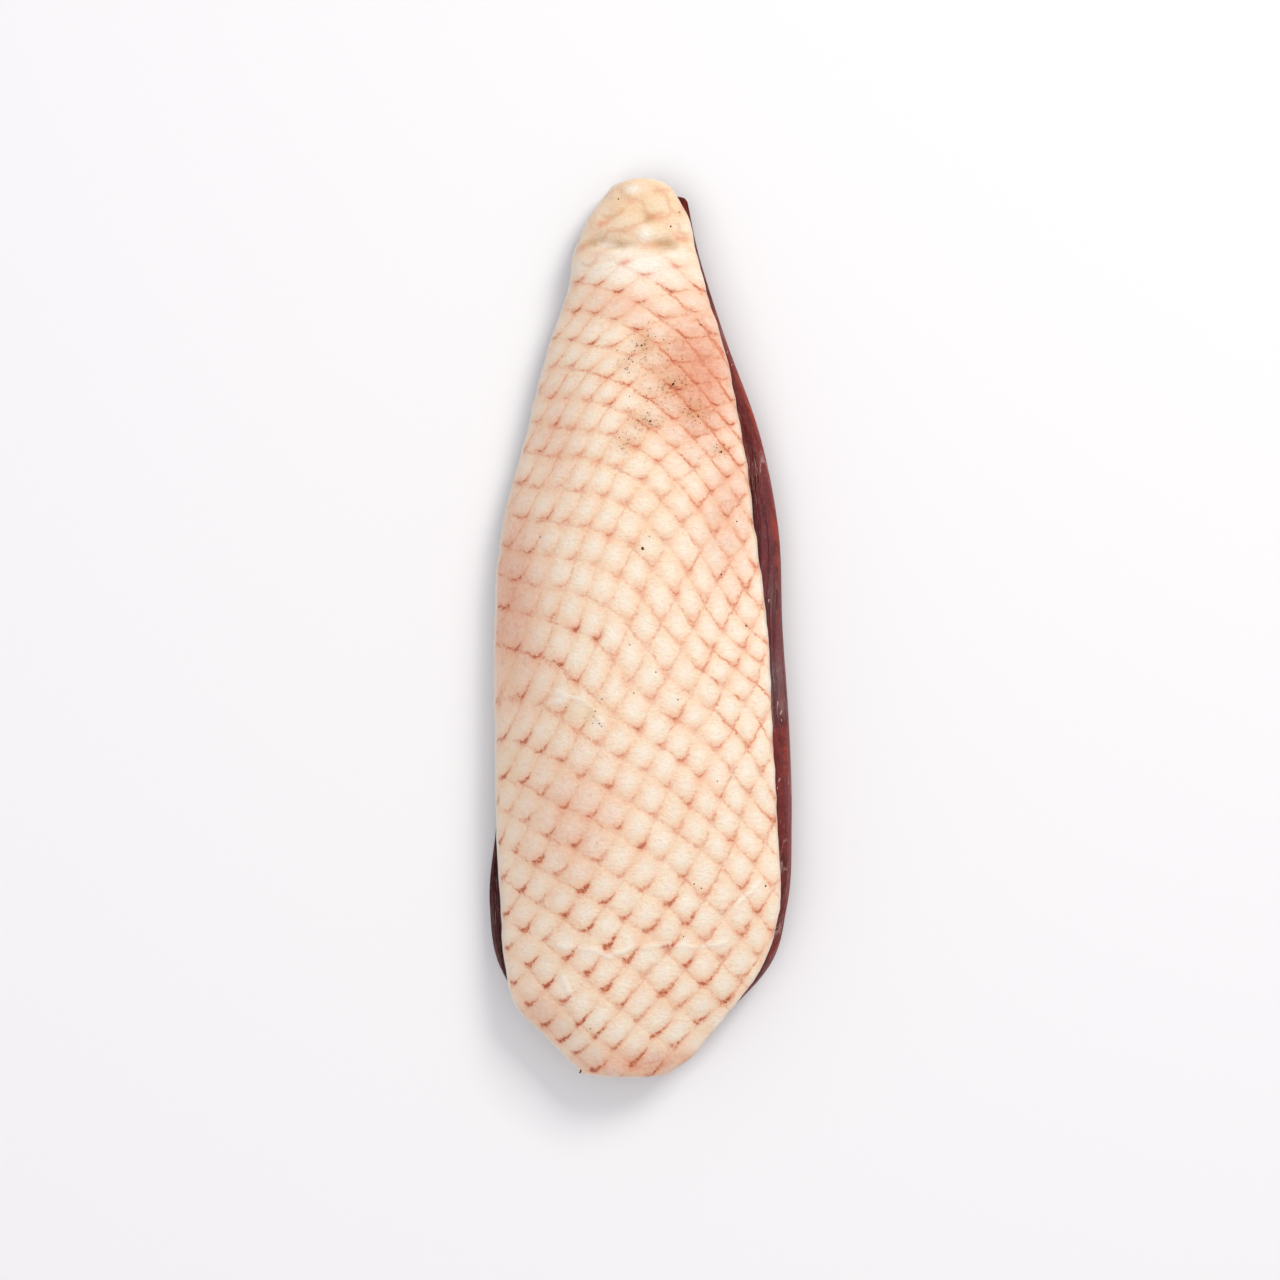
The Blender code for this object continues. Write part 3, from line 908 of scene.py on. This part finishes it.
# %% Skin: the faint net
lines = add(tree, "ShaderNodeAttribute", attribute_name="mark_lines")
lines_up, lines_over, _ = add(tree, "ShaderNodeSeparateColor", {0: lines.outputs["Color"]}).outputs
breaks = add(tree, "ShaderNodeTexNoise", {"Vector": place, "Scale": 1 / (5 * MM), "Detail": 4.0})
breaks = add(tree, "ShaderNodeMapRange", {0: breaks, 1: 0.42, 2: 0.6, 3: 0.1, 4: 1.9})
nets = []
for distance, share in ((to_up, lines_up), (to_over, lines_over)):
    line = add(tree, "ShaderNodeMapRange", {0: distance, 1: 0.005, 2: 0.085, 3: 1.0, 4: 0.0},
               interpolation_type="SMOOTHSTEP")
    nets.append(add(tree, "ShaderNodeMath", {0: line, 1: share}, operation="MULTIPLY"))
net = add(tree, "ShaderNodeMath", {0: nets[0], 1: nets[1]}, operation="MAXIMUM")
for share in (breaks, torn):
    net = add(tree, "ShaderNodeMath", {0: net, 1: share}, operation="MULTIPLY")
# Painted highlight: the tops of the cushions are painted paler, as light from above would make them.
dome_highlight = add(tree, "ShaderNodeMath", {0: to_up, 1: to_over}, operation="MULTIPLY")
dome_highlight = add(tree, "ShaderNodeMapRange", {0: dome_highlight, 1: 0.02, 2: 0.17})
print("skin nodes so far:", len(tree.nodes))

# %% [markdown]
# The colour is laid on in coats, as a painter would. A cream ground with slow
# mottling comes first, then a painted highlight on the tops of the cushions,
# blush, yellowed fat, brown tint, painted light on the left slope, whitish skin
# with painted highlights by the tip and painted shade in the fine wrinkles. The
# net and the marks come last, salmon at their rim and red-brown in their heart.
# Real freckles and wrinkles are about half as big, and would vanish at the
# photograph's size, so both are drawn coarser here.

# %% Skin: colour
patch = add(tree, "ShaderNodeAttribute", attribute_name="patches")
blushed, yellowed, browned = add(tree, "ShaderNodeSeparateColor", {0: patch.outputs["Color"]}).outputs
stains = add(tree, "ShaderNodeAttribute", attribute_name="stains")
ochre, olive_and_shade, whitened = add(tree, "ShaderNodeSeparateColor", {0: stains.outputs["Color"]}).outputs
edges = add(tree, "ShaderNodeAttribute", attribute_name="edges")
cut, painted_light_left, _ = add(tree, "ShaderNodeSeparateColor", {0: edges.outputs["Color"]}).outputs
mottle = add(tree, "ShaderNodeTexNoise", {
    "Vector": place, "Scale": 1 / (9 * MM), "Detail": 6.0, "Roughness": 0.6})
veins = add(tree, "ShaderNodeTexNoise", {
    "Vector": place, "Scale": 1 / (3.2 * MM), "Detail": 6.0, "Roughness": 0.7, "Distortion": 0.8})
stipple = add(tree, "ShaderNodeTexNoise", {
    "Vector": place, "Scale": 1 / (1.2 * MM), "Detail": 5.0, "Roughness": 0.7})
flushes = []
for pattern, start, end in ((veins, 0.5, 0.66), (stipple, 0.46, 0.62)):
    shown = add(tree, "ShaderNodeMapRange", {0: pattern, 1: start, 2: end}, interpolation_type="SMOOTHSTEP")
    flushes.append(add(tree, "ShaderNodeMath", {0: shown, 1: blushed}, operation="MULTIPLY"))
wrinkle_place = add(tree, "ShaderNodeMapping", {
    "Vector": place, "Rotation": (0, 0, math.radians(25)), "Scale": (1.0, 2.2, 1.0)})
wrinkles = add(tree, "ShaderNodeTexNoise", {
    "Vector": wrinkle_place, "Scale": 1 / (1.7 * MM), "Detail": 6.0, "Roughness": 0.7, "Distortion": 1.2})
# Painted shade: the troughs of the fine wrinkles are painted darker.
wrinkle_shade = add(tree, "ShaderNodeMapRange", {0: wrinkles, 1: 0.38, 2: 0.48, 3: 1.0, 4: 0.0})
colour = add(tree, "ShaderNodeValToRGB", {0: mottle})
colour.color_ramp.elements[0].position = 0.3
colour.color_ramp.elements[0].color = linear("#FDD6B4")
colour.color_ramp.elements[1].position = 0.68
colour.color_ramp.elements[1].color = linear("#FFE7CB")
SKIN_COATS = (
    # painted highlight on the cushion tops
    (dome_highlight, 0.70, "#FFF4E4"),
    (blushed, 0.84, "#E49876"),
    (flushes[0], 0.60, "#CC7258"),
    (flushes[1], 0.38, "#D8785A"),
    (yellowed, 0.62, "#ECCD9E"),
    (browned, 0.66, "#D29560"),
    # painted light: the left slope painted paler against its shade
    (painted_light_left, 0.25, "#FDDDC0"),
    # whitish skin and painted highlights by the tip
    (patch.outputs["Alpha"], 0.80, "#FDF6EA"),
    # painted shade in the fine wrinkles
    (wrinkle_shade, 0.26, "#E3A884"),
    (whitened, 0.75, "#FFF6EA"),
    # olive stain and painted shade in the fold's hollow
    (olive_and_shade, 0.75, "#B78C50"),
    (ochre, 0.34, "#D08E58"),
    (net, 1.0, "#DC8A66"),
    (halo, 0.56, "#EA9570"),
)
for mask, most, tint in SKIN_COATS:
    share = add(tree, "ShaderNodeMath", {0: mask, 1: most}, operation="MULTIPLY", use_clamp=True)
    coat = add(tree, "ShaderNodeMix", {0: share, 6: colour, 7: linear(tint)}, data_type="RGBA")
    colour = coat.outputs[2]
freckles = add(tree, "ShaderNodeTexVoronoi", {"Vector": place, "Scale": 1 / (1.1 * MM)})
freckles = add(tree, "ShaderNodeMapRange", {0: freckles, 1: 0.14, 2: 0.4, 3: 0.9, 4: 0.0})
freckles = add(tree, "ShaderNodeMath", {0: freckles, 1: browned}, operation="MULTIPLY")
heart_colour = add(tree, "ShaderNodeValToRGB", {0: heart})
heart_colour.color_ramp.elements[0].color = linear("#DA8A60")
heart_colour.color_ramp.elements[1].color = linear("#AE4A2E")
heart_share = add(tree, "ShaderNodeMapRange", {0: heart, 1: 0.0, 2: 0.45})
for share, tint in ((freckles, linear("#9C5A2C")), (heart_share, heart_colour), (cut, linear("#F4E6D6"))):
    colour = add(tree, "ShaderNodeMix", {0: share, 6: colour, 7: tint}, data_type="RGBA").outputs[2]
tree.links.new(colour, hide_shader.inputs["Base Color"])
print("skin nodes so far:", len(tree.nodes))

# %% [markdown]
# Fine wrinkles and pores are too small for the mesh, so a bump carries them.
# The wrinkles are stretched noise, the same that paints their shade into the
# colour, and the pores are cells a millimetre wide. The mottling makes the skin
# oilier in some places than in others.

# %% Skin: fine relief and finish
pores = add(tree, "ShaderNodeTexVoronoi", {"Vector": place, "Scale": 1 / (0.9 * MM)})
fine = add(tree, "ShaderNodeMath", {0: pores, 1: 0.3, 2: wrinkles}, operation="MULTIPLY_ADD")
bump = add(tree, "ShaderNodeBump", {"Height": fine, "Distance": 0.38 * MM, "Strength": 0.8})
tree.links.new(bump.outputs[0], hide_shader.inputs["Normal"])
oily = add(tree, "ShaderNodeMapRange", {0: mottle, 1: 0.3, 2: 0.7, 3: 0.48, 4: 0.28})
tree.links.new(oily.outputs[0], hide_shader.inputs["Roughness"])
cover(skin, hide)
print(hide.name, "has", len(tree.nodes), "nodes")

# %% [markdown]
# Dried lean is dark red muscle. Its fibres run along it and bend with its
# outline, so each point keeps its share of the way across as one number and
# its place along the breast as another. Light glows red through the thin rim,
# a mauve tone with a painted sheen and a grey veil of silverskin with a
# painted sheen lie over parts of it, and one streak is still wet.

# %% Lean: fibre lie and patches
GLOW_LINES = (
    ((25.3, 64.5), (27.9, 57.5), (30.4, 50.8), (32.0, 45.0)),
    ((33.4, 31.0), (35.2, 22.0), (36.0, 16.0)),
    ((35.9, -26.5), (36.7, -31.0), (37.4, -36.5)),
    ((12.4, 110.0), (13.0, 105.0)),
)
# Mauve patches: partly the lean's own tone, partly painted sheen where the shelf catches the light.
MAUVE_AND_SHEEN = (
    (32.0, 22.0, 3.6, 18.0, 0.9),
    (35.0, -6.0, 4.0, 18.0, 1.0),
    (38.6, -40.0, 1.2, 14.0, 0.6),
    (14.5, 96.0, 2.0, 9.0, 0.7),
)
# Silverskin: its own grey film, with painted sheen on it.
SILVERSKIN_AND_SHEEN = (
    (33.4, 8.0, 1.4, 6.0, 0.5),
    (34.2, -14.0, 2.2, 6.5, 1.0),
    (35.6, -20.5, 1.6, 2.6, 1.0),
    (21.0, 76.0, 1.4, 4.0, 0.4),
    (12.6, 103.0, 1.0, 5.0, 0.7),
    (-38.0, -80.0, 1.6, 9.0, 0.35),
)
WET = ((36.6, -34.0, 1.3, 5.0, 1.0),)
GLOW_WIDTH = 0.8
HALF_WIDTH = 37.0
FIBRE_TILT = 0.8


def across_lean(x, y):
    """Place across the lean, from -1 at its left rim to 1 at its right."""
    left = outline("lean left", y)
    right = outline("lean right", y)
    return (2 * x - left - right) / (right - left)


x, y, z = points_of(lean)
store_rows(lean, "fibre_lie", HALF_WIDTH * across_lean(x, y) + FIBRE_TILT * z, y)
rim = ease(x - outline("lean right", y), -1.8, -0.2)
glow = along_lines(x, y, GLOW_LINES, GLOW_WIDTH)
store_colour(lean, "patches", glow, patches(x, y, MAUVE_AND_SHEEN), patches(x, y, SILVERSKIN_AND_SHEEN), rim)
# The first channel paints the left side darker: painted shade, where the lean lies under the skin's roll.
store_colour(lean, "edges", ease(-x, 10.0, 30.0), patches(x, y, WET))
print("fibres run along", round(MEAT_TIP_Y - MEAT_TAIL_Y), "mm")

# %% [markdown]
# Fine fibres come from noise drawn out along the muscle. Where a slower noise
# passes its middle value it makes a thin line, and those lines are grooves.
# A third noise gives pale threads of connective tissue the same way.

# %% Lean: fibres, grooves and threads
FIBRE_NOISES = (
    ("fibres", 0.75, 0.10, 6.0),
    ("grooves", 1.9, 0.02, 2.0),
    ("threads", 1.3, 0.05, 3.0),
)
# Dried muscle: it gives the eye dark wine-red depth, a drawn-out grain and a dull skin of its own.
flesh, flesh_shader = new_material("dried_duck_lean", "#90342C", {
    "Specular IOR Level": 0.2,
    "Subsurface Weight": 0.1,
    "Subsurface Radius": (1.0, 0.2, 0.1),
    "Subsurface Scale": 1.0 * MM,
})
tree = flesh.node_tree
place = add(tree, "ShaderNodeTexCoord").outputs["Object"]
lie = add(tree, "ShaderNodeUVMap", uv_map="fibre_lie")
patch = add(tree, "ShaderNodeAttribute", attribute_name="patches")
glowing, mauve_and_sheen, silverskin_and_sheen = add(tree, "ShaderNodeSeparateColor", {0: patch.outputs["Color"]}).outputs
edges = add(tree, "ShaderNodeAttribute", attribute_name="edges")
painted_shade_left, wet, _ = add(tree, "ShaderNodeSeparateColor", {0: edges.outputs["Color"]}).outputs
drawn = {}
for name, across, stretch, detail in FIBRE_NOISES:
    along = add(tree, "ShaderNodeMapping", {
        "Vector": lie, "Scale": (1.0, stretch, 1.0), "Location": (across, 7.0, 0)})
    drawn[name] = add(tree, "ShaderNodeTexNoise", {
        "Vector": along, "Scale": 1 / across, "Detail": detail, "Roughness": 0.62})
lines = {}
# The groove lines are also painted dark below: painted shade in the grooves.
for name, width in (("grooves", 0.035), ("threads", 0.016)):
    off = add(tree, "ShaderNodeMath", {0: drawn[name], 1: 0.5}, operation="SUBTRACT")
    off = add(tree, "ShaderNodeMath", {0: off}, operation="ABSOLUTE")
    lines[name] = add(tree, "ShaderNodeMapRange", {0: off, 1: 0.0, 2: width, 3: 1.0, 4: 0.0},
                      interpolation_type="SMOOTHSTEP")
specked = add(tree, "ShaderNodeTexNoise", {
    "Vector": place, "Scale": 1 / (1.1 * MM), "Detail": 4.0, "Roughness": 0.7})
cloud = add(tree, "ShaderNodeTexNoise", {"Vector": place, "Scale": 1 / (12 * MM), "Detail": 3.0})
flecked = add(tree, "ShaderNodeMapRange", {0: specked, 1: 0.52, 2: 0.64}, interpolation_type="SMOOTHSTEP")
seldom = add(tree, "ShaderNodeMapRange", {0: cloud, 1: 0.46, 2: 0.6}, interpolation_type="SMOOTHSTEP")
threads = add(tree, "ShaderNodeMath", {0: lines["threads"], 1: seldom}, operation="MULTIPLY")
glow = add(tree, "ShaderNodeMapRange", {0: drawn["fibres"], 1: 0.4, 2: 0.56, 3: 0.25, 4: 1.0})
glow = add(tree, "ShaderNodeMath", {0: glow, 1: glowing}, operation="MULTIPLY")
# The silverskin's film and its painted sheen go on together as one grey veil.
veil_and_sheen = add(tree, "ShaderNodeMath", {0: flecked, 1: 0.5, 2: 0.55}, operation="MULTIPLY_ADD")
veil_and_sheen = add(tree, "ShaderNodeMath", {0: veil_and_sheen, 1: silverskin_and_sheen}, operation="MULTIPLY")
print("lean nodes so far:", len(tree.nodes))

# %% [markdown]
# The lean gets its colour in coats as the skin does: darker clouds and painted
# shade on the left side, where it lies under the skin's roll, then the mauve
# tone with its painted sheen, the red glow of the rim, the silverskin with its
# painted sheen, painted shade in the grooves, the threads and pale flecks. The
# grooves sink and the flecks stand up in the bump, and only the wet streak is
# smooth enough to glint.

# %% Lean: colour and finish
colour = add(tree, "ShaderNodeValToRGB", {0: drawn["fibres"]})
colour.color_ramp.elements[0].position = 0.32
colour.color_ramp.elements[0].color = linear("#4E1013")
colour.color_ramp.elements[1].position = 0.68
colour.color_ramp.elements[1].color = linear("#90342C")
LEAN_COATS = (
    (cloud, 0.35, "#480E14"),
    # painted shade on the left side
    (painted_shade_left, 0.75, "#3E1A1A"),
    # mauve tone with painted sheen
    (mauve_and_sheen, 0.68, "#6E3840"),
    (patch.outputs["Alpha"], 0.55, "#8C281C"),
    (glow, 0.75, "#A2341E"),
    # silverskin and its painted sheen
    (veil_and_sheen, 0.75, "#94807E"),
    # painted shade in the grooves
    (lines["grooves"], 0.42, "#3A0E12"),
    (threads, 0.55, "#C8A49A"),
    (flecked, 0.18, "#8E625E"),
)
for mask, most, tint in LEAN_COATS:
    share = add(tree, "ShaderNodeMath", {0: mask, 1: most}, operation="MULTIPLY")
    coat = add(tree, "ShaderNodeMix", {0: share, 6: colour, 7: linear(tint)}, data_type="RGBA")
    colour = coat.outputs[2]
tree.links.new(colour, flesh_shader.inputs["Base Color"])
rough = add(tree, "ShaderNodeMath", {
    0: lines["grooves"], 1: -0.7, 2: drawn["fibres"]}, operation="MULTIPLY_ADD")
rough = add(tree, "ShaderNodeMath", {0: specked, 1: 0.5, 2: rough}, operation="MULTIPLY_ADD")
bump = add(tree, "ShaderNodeBump", {"Height": rough, "Distance": 0.7 * MM, "Strength": 1.0})
tree.links.new(bump.outputs[0], flesh_shader.inputs["Normal"])
damp = add(tree, "ShaderNodeMapRange", {0: wet, 1: 0.0, 2: 1.0, 3: 0.46, 4: 0.2})
tree.links.new(damp.outputs[0], flesh_shader.inputs["Roughness"])
cover(lean, flesh)
print(flesh.name, "has", len(tree.nodes), "nodes")

# %% [markdown]
# Where feathers broke off, their roots are left as dark specks. Each is the
# cut end of a tiny hollow shaft, so one is modelled as a tube with a sunk
# middle and a wide foot, and the others are copies, each turned, stretched
# and set down on the skin. Some were seen one by one. Most gather in a few
# brownish patches by the tip, where a seeded draw scatters them.

# %% Pin-prick specks
SPECK_PATCHES = (
    (1.0, 71.0, 2.8, 5.0, 20),
    (-3.5, 66.5, 3.0, 3.5, 12),
    (8.0, 62.5, 5.0, 4.0, 22),
    (14.0, 55.5, 3.4, 3.0, 14),
    (1.0, 52.5, 3.6, 3.0, 18),
    (-3.0, 47.5, 3.0, 2.4, 10),
    (20.5, 45.0, 2.2, 1.2, 7),
    (6.0, 60.0, 9.0, 13.0, 26),
    (-12.0, -23.5, 4.0, 2.2, 7),
)
SINGLE_SPECKS = (
    (0.5, 19.9, 0.42), (26.7, 0.4, 0.32), (9.3, -18.2, 0.24), (-1.8, -16.6, 0.24), (-9.8, -18.1, 0.22),
    (-2.8, -4.4, 0.2), (3.7, -11.3, 0.2), (-19.0, -20.3, 0.2), (-10.5, -24.3, 0.24), (20.3, 13.5, 0.24),
    (24.3, 26.9, 0.22), (20.3, 44.7, 0.36), (2.3, 52.3, 0.4), (8.2, 61.9, 0.42), (14.5, 53.6, 0.34),
    (15.2, -66.0, 0.22), (13.4, -65.0, 0.22), (31.6, -65.8, 0.3), (10.8, -78.4, 0.18), (-12.9, -102.2, 0.2),
    (21.8, -95.7, 0.22), (19.3, -38.9, 0.2), (2.1, 23.0, 0.18), (0.1, 71.6, 0.34), (15.2, 77.3, 0.3),
    (-5.8, 109.9, 0.22), (7.6, 102.8, 0.26), (9.8, 106.6, 0.24), (-25.7, 23.0, 0.22), (-28.3, 19.4, 0.2),
)


def ground_on(piece, x, y):
    """Find the top of a piece under a place, looking straight down."""
    hit, spot, _, _ = piece.ray_cast(Vector((x * MM, y * MM, 1.0)), Vector((0, 0, -1)))
    return spot if hit else None


def copy_to(model, spot, turn, stretch):
    """Copy a modelled piece with its own mesh, turn and stretch it and set it down."""
    let_go()
    model.select_set(True)
    bpy.context.view_layer.objects.active = model
    bpy.ops.object.duplicate(linked=False)
    copy = bpy.context.object
    copy.scale = stretch
    copy.rotation_euler = turn
    copy.location = spot
    return copy


def select_faces(piece, wanted):
    """Select the faces that a test picks, ready for operators in edit mode."""
    bpy.ops.object.mode_set(mode="EDIT")
    bpy.ops.mesh.select_mode(type="FACE")
    bpy.ops.mesh.select_all(action="DESELECT")
    bpy.ops.object.mode_set(mode="OBJECT")
    for face in piece.data.polygons:
        face.select = wanted(face)
    bpy.ops.object.mode_set(mode="EDIT")


def join_copies(name, model, copies, material):
    """Join the copies in one piece at the origin and drop the model."""
    let_go()
    model.select_set(True)
    bpy.ops.object.delete()
    for copy in copies:
        copy.select_set(True)
    bpy.context.view_layer.objects.active = copies[0]
    bpy.ops.object.join()
    bpy.ops.object.transform_apply(location=True, rotation=True, scale=True)
    joined = bpy.context.object
    joined.name = name
    bpy.ops.object.shade_smooth_by_angle(angle=math.radians(50))
    cover(joined, material)
    return joined


let_go()
bpy.ops.mesh.primitive_cylinder_add(vertices=7, radius=1 * MM, depth=0.9 * MM, location=(0, 0, 0))
shaft = bpy.context.object
shaft.name = "shaft_end"
select_faces(shaft, lambda face: face.normal.z < -0.9)
bpy.ops.transform.resize(value=(1.3, 1.1, 1.0))
select_faces(shaft, lambda face: face.normal.z > 0.9)
bpy.ops.transform.resize(value=(0.8, 0.7, 1.0))
bpy.ops.mesh.inset(thickness=0.2 * MM)
bpy.ops.transform.translate(value=(0, 0, -0.3 * MM))
bpy.ops.object.mode_set(mode="OBJECT")

draw = random.Random(11)
specks = list(SINGLE_SPECKS)
for patch_x, patch_y, wide, long, number in SPECK_PATCHES:
    for _ in range(number):
        near_x = draw.gauss(patch_x, wide / 1.6)
        near_y = draw.gauss(patch_y, long / 1.6)
        specks.append((near_x, near_y, draw.uniform(0.09, 0.19)))
copies = []
for speck_x, speck_y, size in specks:
    spot = ground_on(skin, speck_x, speck_y)
    if spot:
        turn = (draw.uniform(-0.3, 0.3), draw.uniform(-0.3, 0.3), draw.uniform(0, 6.28))
        copies.append(copy_to(shaft, spot, turn, (size, size * draw.uniform(0.6, 1.0), 0.25 * size + 0.12)))

# Root of a dark feather: it gives the eye dull brown-black points with no gleam.
quill, _ = new_material("dark_feather_quill", "#5A2A12", {"Roughness": 0.8, "Specular IOR Level": 0.0})
pinpricks = join_copies("pinprick_specks", shaft, copies, quill)
print(len(copies), "specks,", len(pinpricks.data.polygons), "faces")

# %% [markdown]
# Small flakes of fat and membrane cling to the lean. One is modelled as a
# narrow, flattened lump with a rough surface, and copies lie along the shelf.

# %% Fat flakes on the lean
FAT_FLAKES = (
    (32.6, 6.6, 0.4, 0.5, 0.2), (34.9, -20.0, 0.4, 0.8, 0.1), (35.6, -22.2, 0.5, 0.8, 0.4),
    (36.0, -24.0, 0.35, 0.5, -0.3), (35.2, -39.4, 0.4, 0.6, 0.4), (34.8, -41.4, 0.3, 0.4, 0.2),
    (22.0, 70.6, 0.25, 0.5, 0.4), (23.2, 67.4, 0.25, 0.4, 0.4), (33.8, -88.0, 0.25, 0.4, -0.6),
)

let_go()
bpy.ops.mesh.primitive_uv_sphere_add(segments=8, ring_count=6, radius=1 * MM, location=(0, 0, 0))
flake = bpy.context.object
flake.name = "fat_flake"
bpy.ops.object.mode_set(mode="EDIT")
bpy.ops.mesh.select_all(action="SELECT")
bpy.ops.transform.resize(value=(0.5, 1.0, 0.7))
bpy.ops.transform.translate(value=(0.25 * MM, 0.6 * MM, -0.2 * MM))
bpy.ops.transform.vertex_random(offset=0.18 * MM, seed=5)
bpy.ops.object.mode_set(mode="OBJECT")

copies = []
for flake_x, flake_y, wide, long, turn in FAT_FLAKES:
    spot = ground_on(lean, flake_x, flake_y)
    if spot:
        copies.append(copy_to(flake, spot, (0, 0.3, -turn), (wide, long, 0.16)))
# Dried fat: it gives the eye small pale, slightly waxy glints on the dark lean.
suet, _ = new_material("dried_fat_flake", "#B8958A", {
    "Roughness": 0.45,
    "Subsurface Weight": 0.2,
    "Subsurface Scale": 0.6 * MM,
})
flakes = join_copies("fat_flakes", flake, copies, suet)
print(len(copies), "flakes on the lean")

# %% [markdown]
# One quill was cut but not pulled. Its stub sticks out of the trimmed edge at
# the tail, a brown tube. A cylinder is thinned and tilted for it, and its end
# face is inset and sunk.

# %% Quill stub at the tail
STUB_AT = (-15.2, -113.4, 11.0)
STUB_LENGTH = 2.6
STUB_RADIUS = 0.34
STUB_TILT = math.radians(24)

let_go()
bpy.ops.mesh.primitive_cylinder_add(vertices=10, radius=STUB_RADIUS * MM, depth=STUB_LENGTH * MM)
stub = bpy.context.object
stub.name = "quill_stub"
bpy.ops.object.mode_set(mode="EDIT")
bpy.ops.mesh.select_all(action="SELECT")
bpy.ops.transform.resize(value=(0.7, 0.7, 1.0))
stub_end = (0, 0, STUB_LENGTH / 2 * MM)
bpy.ops.transform.rotate(value=STUB_TILT, orient_axis="X", center_override=stub_end)
bpy.ops.object.mode_set(mode="OBJECT")
select_faces(stub, lambda face: face.normal.z > 0.9)
bpy.ops.mesh.inset(thickness=0.08 * MM)
bpy.ops.transform.translate(value=(0, 0, -0.3 * MM))
bpy.ops.object.mode_set(mode="OBJECT")
stub.rotation_euler = (math.radians(76), 0, math.radians(-24))
stub.location = [value * MM for value in STUB_AT]
bpy.ops.object.transform_apply(location=True, rotation=True, scale=True)
bpy.ops.object.shade_smooth_by_angle(angle=math.radians(40))

# Quill horn: it gives the eye a small brown, faintly shiny tip against the pale edge.
horn, _ = new_material("brown_quill_horn", "#7A4A2C", {"Roughness": 0.35})
cover(stub, horn)
print(stub.name, "has", len(stub.data.polygons), "faces")

# %% [markdown]
# Each new layer stands for one solid and rides on the one body there is. The
# specks, the flakes and the stub ride along with them.

# %% Bind the pieces and finish
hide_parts("skin_and_fat")
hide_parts("breast_meat")
for piece in (skin, lean, pinpricks, stub, flakes):
    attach(piece, "root")
